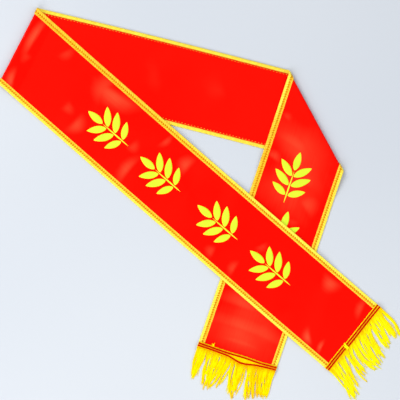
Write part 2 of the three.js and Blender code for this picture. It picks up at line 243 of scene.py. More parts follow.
@dataclass
class FoldedBand:
    """The band as it lies, folded over twice. It carries places on the flat band to places in the room."""

    satin_width: float = 0.136
    satin_thick: float = 0.001
    braid_width: float = 0.0115
    braid_thick: float = 0.0013
    overhang: float = 0.007
    gap: float = 0.0003
    middle_heading: float = -13.1
    middle_turn: float = -1.8
    middle_length: float = 0.547
    front_turn: float = 1.0
    front_length: float = 0.769
    front_skew: float = 1.2
    back_turn: float = -0.8
    back_length: float = 0.399
    back_skew: float = 1.3
    left_crease: float = -14.2
    right_crease: float = 43.3
    roll_radius: float = 0.0035
    roll_dip: float = 10.0
    ease_radius: float = 0.040
    slope_share: float = 0.7
    step_margin: float = 0.012
    step_reach: float = 0.055
    end_clear: float = 0.040
    spare: float = 0.03
    row_step: float = 0.003
    roll_steps: int = 28
    slope_steps: int = 8
    columns: int = 62
    rim: float = 0.001
    satin_rim: float = 0.0006
    table_step: float = 0.0005
    shift: Array = field(default_factory=lambda: np.zeros(3))

    def __post_init__(self) -> None:
        """Lays the band out and makes its table of places."""
        self.half_width = self.satin_width / 2 + self.overhang
        self.braid_inner = self.half_width - self.braid_width
        self.middle_z = self.braid_thick + self.gap + self.satin_thick / 2
        self.over_middle = self.middle_z + self.satin_thick / 2 + self.gap
        self.over_braid = self.satin_thick + self.gap + self.braid_thick + self.gap
        self.across = np.linspace(-self.half_width - self.rim, self.half_width + self.rim, self.columns)
        self._lay_out()
        self._make_table()

    def _lay_out(self) -> None:
        """Places the middle run, and then the fold and the run beyond each of its ends."""
        self.middle = Run(0.0, 0.0, self.middle_heading, 1, self.middle_length, self.middle_turn)
        end_x, end_y = self.middle.plan(self.middle_length, 0.0)
        right, back_start = self._fold_over(
            (float(end_x), float(end_y), self.middle_heading + self.middle_turn, 1),
            self.right_crease,
            self.off_middle,
        )
        self.back = Run(*back_start, self.back_length, self.back_turn)
        left, front_start = self._fold_over(
            (0.0, 0.0, self.middle_heading + 180.0, -1),
            self.left_crease,
            self.front_bed,
        )
        self.front = Run(*front_start, self.front_length, self.front_turn)
        lean_left = math.tan(math.radians(self.left_crease))
        lean_right = math.tan(math.radians(self.right_crease))
        self.front_lean = -math.tan(math.radians(self.front_skew))
        self.back_lean = -math.tan(math.radians(self.back_skew))
        left_fold = float(left.along[-1].mean())
        right_fold = float(right.along[-1].mean())
        front = self._run_rows(self.front, lean_left, self.front_lean, self.front_height)
        middle = self._run_rows(self.middle, -lean_left, -lean_right, self.middle_height, spare=0.0)
        back = self._run_rows(self.back, lean_right, self.back_lean, self.back_height)
        front.along = self.front_length - front.along
        left.along = self.front_length + left_fold - left.along
        self.middle_start = self.front_length + left_fold
        middle.along = self.middle_start + middle.along
        right.along = self.middle_start + self.middle_length + right.along
        self.back_start = self.middle_start + self.middle_length + right_fold
        back.along = self.back_start + back.along
        self.length = self.back_start + self.back_length
        parts = [front.reversed(), left.reversed(), middle, right, back]
        stack = {
            name: np.concatenate([getattr(parts[0], name)] + [getattr(p, name)[1:] for p in parts[1:]])
            for name in ("x", "y", "z", "along")
        }
        self.rows = Ruling(**stack)

    def off_middle(self, x: Array, y: Array) -> Array:
        """Gives the height of what lies under the back run: the middle run, and the surface past its edge."""
        return self.over_middle * self._step_down(self.middle.outside(x, y, self.half_width))

    def front_bed(self, x: Array, y: Array) -> Array:
        """Gives the height of what lies under the front run.

        Args:
            x: the x of the places.
            y: their y.

        Returns:
            The heights.
        """
        over_back = self.off_middle(x, y) + self.over_braid
        over_back = over_back * self._step_down(self.back.outside(x, y, self.half_width))
        return np.maximum(self.off_middle(x, y), over_back)

    def _step_down(self, outside: Array) -> Array:
        """Gives how much of a layer's height is left at a distance outside its edge."""
        return 1.0 - ease(self.step_margin, self.step_reach, outside)

    def _swell(self, swells: Sequence[Swell], run: Run, along: Array, across: Array) -> Array:
        """Gives the height of a run's swells.

        Args:
            swells: the swells.
            run: the run that they are on.
            along: the lengths along it.
            across: the lengths across it.

        Returns:
            The heights, which fade out towards both ends of the run.
        """
        fade = ease(0.0, self.end_clear, along) * ease(0.0, self.end_clear, run.length - along)
        height = np.zeros(np.broadcast(along, across).shape)
        for s in swells:
            off_along = (along - s.along * run.length) / s.long
            off_across = (across - s.across * self.satin_width / 2) / s.wide
            height = np.maximum(height, s.rise * (1.0 - ease(0.0, 0.5, np.hypot(off_along, off_across))))
        return fade * height

    def clear_of(self, run: Run, x: Array, y: Array) -> Array:
        """Gives 1 well clear of a run that lies on top, and 0 under it."""
        return 1.0 - self._step_down(run.outside(x, y, self.half_width))

    def middle_height(self, x: Array, y: Array, along: Array, across: Array) -> Array:
        """Gives the middle run's height, at the middle of the satin's thickness."""
        clear = self.clear_of(self.front, x, y) * self.clear_of(self.back, x, y)
        return self.middle_z + clear * self._swell(MIDDLE_SWELLS, self.middle, along, across)

    def back_height(self, x: Array, y: Array, along: Array, across: Array) -> Array:
        """Gives the back run's height, at the middle of the satin's thickness."""
        swell = self.clear_of(self.front, x, y) * self._swell(BACK_SWELLS, self.back, along, across)
        return self.off_middle(x, y) + self.satin_thick / 2 + swell

    def front_height(self, x: Array, y: Array, along: Array, across: Array) -> Array:
        """Gives the front run's height, at the middle of the satin's thickness."""
        swell = self._swell(FRONT_SWELLS, self.front, along, across)
        return self.front_bed(x, y) + self.satin_thick / 2 + swell

    def _run_rows(
        self,
        run: Run,
        lean_start: float,
        lean_end: float,
        height: Height,
        spare: float | None = None,
    ) -> Ruling:
        """Makes a run's rows of points.

        Args:
            run: the run.
            lean_start: how far the first row leans, as its slope.
            lean_end: how far the row at the run's end leans.
            height: gives the height of its points.
            spare: how far the rows go on past the run's end.

        Returns:
            The rows, with their lengths along the run.
        """
        spare = self.spare if spare is None else spare
        count = round((run.length + spare) / self.row_step)
        share = np.linspace(0.0, 1.0 + spare / run.length, count + 1)[:, None]
        lean = mix(lean_start, lean_end, np.minimum(share, 1.0))
        along = share * run.length + lean * run.side * self.across
        x, y = run.plan(along, self.across)
        return Ruling(x, y, height(x, y, along, self.across), along)

    def _roll_section(self) -> tuple[Array, Array, Array, Array]:
        """Draws the section of a fold square to its crease.

        Returns:
            The length of cloth used, the distance out from the crease's start, the height above it, and the
            share of the way down to what lies beneath.
        """
        dip = math.radians(self.roll_dip)
        top = self.roll_radius * (1 + math.cos(dip))
        ease_drop = self.ease_radius * (1 - math.cos(dip))
        drop = self.over_middle + self.satin_thick / 2 - self.middle_z
        slope = (top - ease_drop - drop) / math.sin(dip)
        angle = np.linspace(0.0, math.pi + dip, self.roll_steps + 1)
        used = self.roll_radius * angle
        out = self.roll_radius * np.sin(angle)
        up = self.roll_radius * (1 - np.cos(angle))
        share = np.linspace(0.0, 1.0, self.slope_steps + 1)[1:]
        used_slope = used[-1] + share * slope
        out_slope = out[-1] - share * slope * math.cos(dip)
        up_slope = up[-1] - share * slope * math.sin(dip)
        left = dip * (1 - share)
        used_ease = used_slope[-1] + share * self.ease_radius * dip
        out_ease = out_slope[-1] - self.ease_radius * (math.sin(dip) - np.sin(left))
        up_ease = up_slope[-1] - self.ease_radius * (np.cos(left) - math.cos(dip))
        settled = np.concatenate([
            np.zeros(angle.size),
            self.slope_share * ease(0.0, 1.0, share),
            mix(self.slope_share, 1.0, share),
        ])
        return (
            np.concatenate([used, used_slope, used_ease]),
            np.concatenate([out, out_slope, out_ease]),
            np.concatenate([up, up_slope, up_ease]),
            settled,
        )

    def _fold_over(self, entry: Start, skew: float, bed: Bed) -> tuple[Ruling, Start]:
        """Folds the band over at a crease.

        Args:
            entry: x, y, heading and side where the band comes in.
            skew: how far the crease is turned from square to the band.
            bed: gives the height of what the band comes down on.

        Returns:
            The fold's rows, and x, y, heading and side where the band goes out.
        """
        x0, y0, heading, side = entry
        outward = math.radians(heading + skew)
        lean = math.tan(math.radians(skew))
        reach = 1 / math.cos(math.radians(skew))
        gx, gy = math.cos(outward), math.sin(outward)
        fx, fy = gy, -gx
        used, out, up, settled = (part[:, None] for part in self._roll_section())
        centre_x = x0 + gx * out + fx * used * lean
        centre_y = y0 + gy * out + fy * used * lean
        x = centre_x - side * self.across * reach * fx
        y = centre_y - side * self.across * reach * fy
        z = self.middle_z + up - settled * (self.over_middle - bed(x, y))
        along = used * reach - lean * side * self.across
        exit_place = (float(centre_x[-1, 0]), float(centre_y[-1, 0]), heading - 180.0 + 2 * skew, -side)
        return Ruling(x, y, z, along), exit_place

    def align(self, low: Sequence[float], high: Sequence[float]) -> None:
        """Moves the band so that its satin fills a box.

        Args:
            low: the box's lowest corner.
            high: the box's highest corner.
        """
        half = self.satin_width / 2
        inside = np.abs(self.across) < half + self.satin_rim
        along = self.rows.along[:, inside]
        v = np.tile(np.clip(self.across[inside], -half, half), along.shape[0])
        u = np.clip(along.ravel(), self.span(0.0, v), self.span(1.0, v))
        faces = [self.place(u, v, side * self.satin_thick / 2) for side in (-1, 1)]
        own = np.concatenate(faces)
        self.shift = (np.array(low) + np.array(high) - own.min(axis=0) - own.max(axis=0)) / 2

    def _make_table(self) -> None:
        """Reads the rows off at even steps along the band, with the front face's direction at each place."""
        low = self.rows.along[0].max()
        high = self.rows.along[-1].min()
        self.table_start = low
        steps = np.arange(low, high, self.table_step)
        table = np.empty((steps.size, self.across.size, 3))
        for j in range(self.across.size):
            for k, part in enumerate((self.rows.x, self.rows.y, self.rows.z)):
                table[:, j, k] = np.interp(steps, self.rows.along[:, j], part[:, j])
        self.table = table
        self.normals = self._face_directions(table)

    @staticmethod
    def _face_directions(points: Array) -> Array:
        """Gives the direction that the front face looks in at each point of a grid."""
        normal = np.cross(np.gradient(points, axis=1), np.gradient(points, axis=0))
        return normal / np.linalg.norm(normal, axis=2, keepdims=True)

    def span(self, share: Array | float, v: Array) -> Array:
        """Turns a share of the way from the front end to the back end into a length along the band."""
        return mix(-self.front_lean * v, self.length - self.back_lean * v, share)

    def place(self, u: Array, v: Array, w: Array | float) -> Array:
        """Carries places on the flat band to the room.

        Args:
            u: lengths along the band from its front end.
            v: lengths across it, towards its upper edge.
            w: lengths off the middle of the satin, towards its front face.

        Returns:
            An array of points, one row each.
        """
        i = np.clip((u - self.table_start) / self.table_step, 0, self.table.shape[0] - 1.001)
        j = np.clip((v - self.across[0]) / (self.across[1] - self.across[0]), 0, self.across.size - 1.001)
        i0, j0 = i.astype(int), j.astype(int)
        a, b = (i - i0)[:, None], (j - j0)[:, None]

        def blend(table: Array) -> Array:
            """Reads a table between its entries."""
            low, high = (mix(table[row, j0], table[row, j0 + 1], b) for row in (i0, i0 + 1))
            return mix(low, high, a)

        return blend(self.table) + blend(self.normals) * np.broadcast_to(w, u.shape)[:, None] + self.shift


def read_places(mesh: Mesh) -> Array:
    """Reads a mesh's points.

    Args:
        mesh: the mesh.

    Returns:
        An array with a row for each point.
    """
    places = np.empty(len(mesh.vertices) * 3)
    mesh.vertices.foreach_get("co", places)
    return places.reshape(-1, 3)


def write_places(mesh: Mesh, places: Array) -> None:
    """Moves a mesh's points to the places in an array, one row each."""
    mesh.vertices.foreach_set("co", np.ascontiguousarray(places, dtype=np.float32).ravel())
    mesh.update()


def write_uv(mesh: Mesh, u: Array, v: Array) -> None:
    """Gives a cloth's mesh its UV map.

    Args:
        mesh: the mesh.
        u: the first number for each of its points.
        v: the second number for each of them.
    """
    corner = np.empty(len(mesh.loops), dtype=np.int32)
    mesh.loops.foreach_get("vertex_index", corner)
    pairs = np.stack([u[corner], v[corner]], axis=1)
    layer = mesh.uv_layers.new(name="cloth")
    layer.data.foreach_set("uv", np.ascontiguousarray(pairs, dtype=np.float32).ravel())


def write_shade(mesh: Mesh, name: str, values: Array) -> None:
    """Gives each point of a mesh a number that its material reads by name."""
    attribute = mesh.attributes.new(name, "FLOAT", "POINT")
    attribute.data.foreach_set("value", np.ascontiguousarray(values, dtype=np.float32))


def to_mesh(bm: bmesh.types.BMesh, name: str) -> Mesh:
    """Turns a bmesh into a mesh, and frees it.

    Args:
        bm: the bmesh.
        name: the mesh's name.

    Returns:
        The mesh.
    """
    mesh = bpy.data.meshes.new(name)
    bm.to_mesh(mesh)
    bm.free()
    return mesh


def put(name: str, data: bpy.types.ID) -> Object:
    """Puts something into the scene.

    Args:
        name: the object's name.
        data: its mesh, light or camera.

    Returns:
        The object that holds it.
    """
    holder = bpy.data.objects.new(name, data)
    bpy.context.scene.collection.objects.link(holder)
    return holder


def show(name: str, mesh: Mesh, material: Material) -> Object:
    """Puts a finished mesh in the scene as a piece that rides on the sash.

    Args:
        name: the piece's name.
        mesh: its mesh, with its places in the room.
        material: its finish.

    Returns:
        The piece's object.
    """
    mesh.name = name
    mesh.materials.append(material)
    mesh.polygons.foreach_set("use_smooth", [True] * len(mesh.polygons))
    piece = put(name, mesh)
    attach(piece, "root")
    LOG.info("%s: %d faces", name, len(mesh.polygons))
    return piece


def thicken(mesh: Mesh, thickness: float) -> None:
    """Gives a laid cloth its thickness, half to each side, and turns its faces outwards.

    Args:
        mesh: the cloth's mesh.
        thickness: how thick it becomes.
    """
    bm = bmesh.new()
    bm.from_mesh(mesh)
    bmesh.ops.recalc_face_normals(bm, faces=bm.faces)
    for vert in bm.verts:
        vert.co += vert.normal * (thickness / 2)
    bmesh.ops.solidify(bm, geom=list(bm.faces), thickness=thickness)
    bmesh.ops.recalc_face_normals(bm, faces=bm.faces)
    bm.to_mesh(mesh)
    bm.free()


@dataclass
class ClothSheet:
    """A sheet of cloth as a grid, with each point's share of the way along it and across it."""

    rows: int
    columns: int

    def __post_init__(self) -> None:
        """Makes the grid and reads where each of its points lies on it."""
        bm = bmesh.new()
        bmesh.ops.create_grid(bm, x_segments=self.rows, y_segments=self.columns, size=0.5)
        bmesh.ops.translate(bm, verts=bm.verts, vec=(0.5, 0.5, 0.0))
        self.mesh = to_mesh(bm, "cloth")
        places = read_places(self.mesh)
        self.along, self.across = places[:, 0], places[:, 1]

    def lay(self, places: Array, u: Array, v: Array, thickness: float) -> Mesh:
        """Lays the sheet.

        Args:
            places: where its points go in the room.
            u: the first number of its UV map at each point.
            v: the second number.
            thickness: how thick the cloth is.

        Returns:
            The sheet's mesh.
        """
        write_uv(self.mesh, u, v)
        write_places(self.mesh, places)
        thicken(self.mesh, thickness)
        return self.mesh


@dataclass
class YarnRow:
    """Many equal yarns side by side: one is made, and the rest are copies of it.

    A yarn is a closed tube. Its share says how far along it a point lies, and round_x and round_y where round
    its section.
    """

    count: int
    sides: int
    cuts: int
    apart: float = 4.0

    def __post_init__(self) -> None:
        """Makes the row's mesh and reads where each of its points lies on its yarn."""
        bm = bmesh.new()
        bmesh.ops.create_cone(
            bm, cap_ends=True, cap_tris=False, segments=self.sides, radius1=1.0, radius2=1.0, depth=1.0
        )
        bmesh.ops.translate(bm, verts=bm.verts, vec=(0.0, 0.0, 0.5))
        rails = [e for e in bm.edges if abs(e.verts[0].co.z - e.verts[1].co.z) > 0.5]
        bmesh.ops.subdivide_edges(bm, edges=rails, cuts=self.cuts, use_grid_fill=True)
        layer = bm.loops.layers.uv.new("yarn")
        for face in bm.faces:
            centre = face.calc_center_median()
            middle = math.atan2(centre.y, centre.x) / math.tau
            for loop in face.loops:
                turn = math.atan2(loop.vert.co.y, loop.vert.co.x) / math.tau
                turn += round(middle - turn)
                loop[layer].uv = (loop.vert.co.z, turn)
        self.mesh = repeat(to_mesh(bm, "yarn"), self.count, self.apart)
        places = read_places(self.mesh)
        self.number = np.rint(places[:, 0] / self.apart).astype(int)
        self.round_x = places[:, 0] - self.apart * self.number
        self.round_y, self.share = places[:, 1], places[:, 2]

    def vary(self, rng: np.random.Generator, low: float, high: float) -> Array:
        """Draws a number between two limits for each yarn, and gives it at each of the yarn's points."""
        return rng.uniform(low, high, self.count)[self.number]

    def lay(self, places: Array, shade: Array | float) -> Mesh:
        """Lays the yarns.

        Args:
            places: where their points go in the room.
            shade: the tone that their finish gives each point, from dark at 0 to light at 1.

        Returns:
            The row's mesh.
        """
        write_places(self.mesh, places)
        write_shade(self.mesh, "shade", np.broadcast_to(shade, self.share.shape))
        return self.mesh


def repeat(unit: Mesh, count: int, step: float) -> Mesh:
    """Repeats a mesh in a row along X, as one mesh.

    Args:
        unit: the mesh to repeat.
        count: how many there are in all.
        step: how far apart they are.

    Returns:
        The joined mesh.
    """
    holder = put("row", unit)
    array = holder.modifiers.new("row", "ARRAY")
    array.count = count
    array.use_relative_offset = False
    array.use_constant_offset = True
    array.constant_offset_displace = (step, 0.0, 0.0)
    depsgraph = bpy.context.evaluated_depsgraph_get()
    joined = bpy.data.meshes.new_from_object(holder.evaluated_get(depsgraph))
    bpy.data.objects.remove(holder)
    return joined


class Bench:
    """Adds and links the nodes of one node tree."""

    def __init__(self, tree: NodeTree) -> None:
        """Keeps the tree, and empties it."""
        self.tree = tree
        tree.nodes.clear()

    def feed(self, node: Node, inputs: dict) -> None:
        """Fills a node's inputs.

        Args:
            node: the node.
            inputs: for each input, by name or number, a value or the output that feeds it.
        """
        for key, value in inputs.items():
            if isinstance(value, NodeSocket):
                self.tree.links.new(value, node.inputs[key])
            else:
                node.inputs[key].default_value = value

    def add(self, kind: str, inputs: dict | None = None, **settings: object) -> Node:
        """Adds a node.

        Args:
            kind: the node's type without its ShaderNode prefix.
            inputs: what fills its inputs.
            settings: the node's own settings.

        Returns:
            The node.
        """
        prefix = "" if kind.startswith("Node") else "ShaderNode"
        node = self.tree.nodes.new(prefix + kind)
        for name, value in settings.items():
            setattr(node, name, value)
        self.feed(node, inputs or {})
        return node

    def read(self, kind: str, inputs: dict | None = None, **settings: object) -> NodeSocket:
        """Adds a node and gives its first output."""
        return self.add(kind, inputs, **settings).outputs[0]

    def number(self, attribute: str) -> NodeSocket:
        """Adds a node that reads the number that write_shade gave each point."""
        return self.add("Attribute", attribute_name=attribute).outputs["Fac"]

    def math(self, operation: str, *values: object) -> NodeSocket:
        """Adds a sum of one to three values and gives its output."""
        return self.read("Math", dict(enumerate(values)), operation=operation)

    def noise(self, place: NodeSocket, scale: float, detail: float) -> NodeSocket:
        """Adds a noise and gives its value."""
        return self.read("TexNoise", {"Vector": place, "Scale": scale, "Detail": detail})

    def bump(self, height: NodeSocket, strength: float, depth: float) -> NodeSocket:
        """Adds a bump and gives its normal."""
        return self.read("Bump", {"Strength": strength, "Distance": depth, "Height": height})

    def ramp(self, value: NodeSocket, *stops: tuple[float, Colour]) -> NodeSocket:
        """Adds a ramp between two colours.

        Args:
            value: the number that it reads.
            stops: for each end, its place and its colour.

        Returns:
            Its colour.
        """
        node = self.add("ValToRGB", {0: value})
        for element, (position, colour) in zip(node.color_ramp.elements, stops):
            element.position = position
            element.color = (*colour, 1.0)
        return node.outputs["Color"]


def linear(*display: int) -> Colour:
    """Turns a display colour, three numbers from 0 to 255, into the linear one that the shaders take."""
    shares = np.array(display) / 255
    return tuple(np.where(shares <= 0.04045, shares / 12.92, ((shares + 0.055) / 1.055) ** 2.4).tolist())


def new_group(name: str, surface: str, numbers: dict[str, float], outputs: Sequence[str]) -> tuple:
    """Starts a shader node group.

    Args:
        name: the group's name.
        surface: the name of the input that takes places on a surface.
        numbers: the inputs that take a number, with their usual values.
        outputs: the outputs, which are numbers.

    Returns:
        The group, its bench, and its input and output nodes.
    """
    group = bpy.data.node_groups.new(name, "ShaderNodeTree")
    bench = Bench(group)
    group.interface.new_socket(surface, in_out="INPUT", socket_type="NodeSocketVector")
    for title, value in numbers.items():
        socket = group.interface.new_socket(title, in_out="INPUT", socket_type="NodeSocketFloat")
        socket.default_value = value
    for title in outputs:
        group.interface.new_socket(title, in_out="OUTPUT", socket_type="NodeSocketFloat")
    return group, bench, bench.add("NodeGroupInput"), bench.add("NodeGroupOutput")


def weave_group() -> NodeTree:
    """Makes the satin weave: long floats along the cloth, each tied down at staggered places.

    Returns:
        The group.
    """
    float_threads, stagger_share, tie_share = 8.0, 0.375, 0.16
    group, bench, given, result = new_group("satin_weave", "Cloth", {"Thread": 0.0004}, ["Height"])
    thread = given.outputs["Thread"]
    parts = bench.add("SeparateXYZ", {0: given.outputs["Cloth"]})
    across = bench.math("DIVIDE", parts.outputs[1], thread)
    along = bench.math("DIVIDE", parts.outputs[0], bench.math("MULTIPLY", thread, float_threads))
    shifted = bench.math("MULTIPLY_ADD", bench.math("FLOOR", across), stagger_share, along)
    stagger = bench.math("FRACT", shifted)
    tie = bench.read("MapRange", {0: stagger, 1: 0.0, 2: tie_share}, interpolation_type="SMOOTHSTEP")
    round_off = bench.math("SINE", bench.math("MULTIPLY", bench.math("FRACT", across), math.pi))
    bench.feed(result, {"Height": bench.math("MULTIPLY", round_off, tie)})
    return group


def ply_group() -> NodeTree:
    """Makes the twist of a plied yarn, with the fine fibres in it.

    Returns:
        The group.
    """
    fibre_long, fibre_round, fibre_share, groove_power = 0.4, 5.0, 0.3, 0.6
    numbers, outputs = {"Turns": 12.0, "Plies": 2.0}, ["Height", "Fibre"]
    group, bench, given, result = new_group("yarn_ply", "Yarn", numbers, outputs)
    parts = bench.add("SeparateXYZ", {0: given.outputs["Yarn"]})
    length = bench.math("MULTIPLY", parts.outputs[0], given.outputs["Turns"])
    helix = bench.math("ADD", length, bench.math("MULTIPLY", parts.outputs[1], given.outputs["Plies"]))
    groove = bench.math("ABSOLUTE", bench.math("SINE", bench.math("MULTIPLY", helix, math.pi)))
    drawn_out = {0: bench.math("MULTIPLY", length, fibre_long), 1: bench.math("MULTIPLY", helix, fibre_round)}
    fibre = bench.noise(bench.read("CombineXYZ", drawn_out), 3.0, 3.0)
    height = bench.math("MULTIPLY_ADD", fibre, fibre_share, bench.math("POWER", groove, groove_power))
    bench.feed(result, {"Height": height, "Fibre": fibre})
    return group


def new_material(name: str) -> tuple[Material, Bench, Node]:
    """Starts a material with a Principled shader.

    Args:
        name: the material's name.

    Returns:
        The material, its bench and the shader.
    """
    material = bpy.data.materials.new(name)
    material.use_nodes = True
    bench = Bench(material.node_tree)
    shader = bench.add("BsdfPrincipled")
    bench.add("OutputMaterial", {"Surface": shader.outputs[0]})
    return material, bench, shader


@dataclass(frozen=True)
class SatinFinish:
    """Glossy polyester satin, with a warp that shows as fine streaks along the band.

    Its colour goes from deep to light where a highlight is painted on it over the crests, and a little with
    the streaks and clouds.
    """

    name: str = "red_satin"
    deep: Colour = linear(238, 2, 0)
    # The colour of the highlight painted over the crests.
    light: Colour = linear(255, 84, 52)
    gleam: Colour = (1.0, 0.2, 0.08)
    thread: float = 0.00035
    streaks: tuple[float, float, float] = (14.0, 900.0, 1.0)
    streak_share: float = 0.35
    clouds: float = 16.0
    faint: float = 0.12
    roughness: tuple[float, float] = (0.37, 0.49)
    sheen: float = 0.02
    bump: float = 0.12
    depth: float = 0.0002

    def build(self, weave: NodeTree) -> Material:
        """Builds the material.

        Args:
            weave: the satin weave's node group.

        Returns:
            The material.
        """
        material, bench, shader = new_material(self.name)
        cloth = bench.read("UVMap", uv_map="cloth")
        streak = bench.noise(bench.read("Mapping", {"Vector": cloth, "Scale": self.streaks}), 1.0, 3.0)
        cloud = bench.noise(cloth, self.clouds, 2.0)
        clouded = bench.math("MULTIPLY", cloud, 1.0 - self.streak_share)
        uneven = bench.math("MULTIPLY_ADD", streak, self.streak_share, clouded)
        faint = bench.math("MULTIPLY", uneven, self.faint)
        # The crests' painted highlight lifts the colour from deep towards light, and the streaks and clouds
        # lift it faintly.
        lift = bench.math("MULTIPLY_ADD", bench.number("glow"), bench.math("ADD", uneven, 0.1), faint)
        rough = {0: uneven, 1: 0.3, 2: 0.7, 3: self.roughness[0], 4: self.roughness[1]}
        woven = bench.read("Group", {"Cloth": cloth, "Thread": self.thread}, node_tree=weave)
        height = bench.math("MULTIPLY_ADD", streak, 0.5, woven)
        bench.feed(shader, {
            "Base Color": bench.ramp(lift, (0.08, self.deep), (0.75, self.light)),
            "Roughness": bench.read("MapRange", rough),
            "Normal": bench.bump(height, self.bump, self.depth),
            "Sheen Weight": self.sheen,
            "Sheen Roughness": 0.4,
            "Sheen Tint": (*self.gleam, 1.0),
            "Specular Tint": (*self.gleam, 1.0),
            "Specular IOR Level": 0.3,
            "Anisotropic": 0.5,
        })
        return material


@dataclass(frozen=True)
class YarnFinish:
    """Lustrous plied yarn, whose colour goes from one tone to another by the shade of each point."""

    name: str
    dark: Colour
    light: Colour
    turns: float = 12.0
    plies: float = 2.0
    bump: float = 0.6
    depth: float = 0.00018
    roughness: float = 0.5
    sheen: float = 0.2

    def build(self, ply: NodeTree) -> Material:
        """Builds the material.

        Args:
            ply: the plied yarn's node group.

        Returns:
            The material.
        """
        material, bench, shader = new_material(self.name)
        yarn = {"Yarn": bench.read("UVMap", uv_map="yarn"), "Turns": self.turns, "Plies": self.plies}
        twist = bench.add("Group", yarn, node_tree=ply)
        shade = bench.math("SUBTRACT", bench.number("shade"), 0.25)
        tone = bench.math("MULTIPLY_ADD", twist.outputs["Fibre"], 0.5, shade)
        bench.feed(shader, {
            "Base Color": bench.ramp(tone, (0.0, self.dark), (1.0, self.light)),
            "Normal": bench.bump(twist.outputs["Height"], self.bump, self.depth),
            "Roughness": self.roughness,
            "Sheen Weight": self.sheen,
            "Sheen Roughness": 0.5,
            "Sheen Tint": (*self.light, 1.0),
            "Specular Tint": (*self.light, 1.0),
        })
        return material


@dataclass(frozen=True)
class BlotchFinish:
    """A matt finish in two tones that blend in soft blotches, with a fine grain where one is given."""

    name: str
    dark: Colour
    light: Colour
    scale: float
    detail: float
    roughness: float
    grain: float = 0.0
    bump: float = 0.3
    depth: float = 0.0001

    def build(self) -> Material:
        """Builds the material.

        Returns:
            The material.
        """
        material, bench, shader = new_material(self.name)
        place = bench.add("TexCoord").outputs["Object"]
        blotch = bench.noise(place, self.scale, self.detail)
        colour = bench.ramp(blotch, (0.3, self.dark), (0.7, self.light))
        bench.feed(shader, {"Base Color": colour, "Roughness": self.roughness})
        if self.grain:
            height = bench.noise(place, self.grain, 2.0)
            bench.feed(shader, {"Normal": bench.bump(height, self.bump, self.depth)})
        return material


INK = BlotchFinish("leaf_print_ink", linear(205, 232, 4), linear(216, 242, 14), 60.0, 4.0, 0.55, grain=1800.0)
SURFACE = BlotchFinish("pale_surface", linear(192, 197, 204), linear(201, 205, 210), 1.2, 1.0, 0.9)


# How much a crest bends, how steep its two sides are, and how fast it falls off.
CREST_BEND = 0.3
CREST_SIDES = (1.5, 0.8)
CREST_FALL = 1.4


@dataclass(frozen=True)
class Crest:
    """A low crest in the satin that catches the light: its place, its half sizes, its turn, its height, and
    how strongly a highlight is painted over it.

    It bends a little, and falls off faster on one side than on the other.
    """

    u: float
    v: float
    long: float
    wide: float
    turn: float
    rise: float
    # How strongly a highlight is painted into the satin's colour over the crest.
    glow: float

    def share(self, u: Array, v: Array) -> Array:
        """Gives how much of the crest there is at places on the flat band.

        Args:
            u: the lengths along the band.
            v: the lengths across it.

        Returns:
            The shares, from 0 to 1.
        """
        turn = math.radians(self.turn)
        du, dv = u - self.u, v - self.v
        a = (du * math.cos(turn) + dv * math.sin(turn)) / self.long
        b = (dv * math.cos(turn) - du * math.sin(turn)) / self.wide - CREST_BEND * a * a
        b = b * np.where(b > 0.0, *CREST_SIDES)
        return np.exp(-(a * a + b * b) * CREST_FALL)


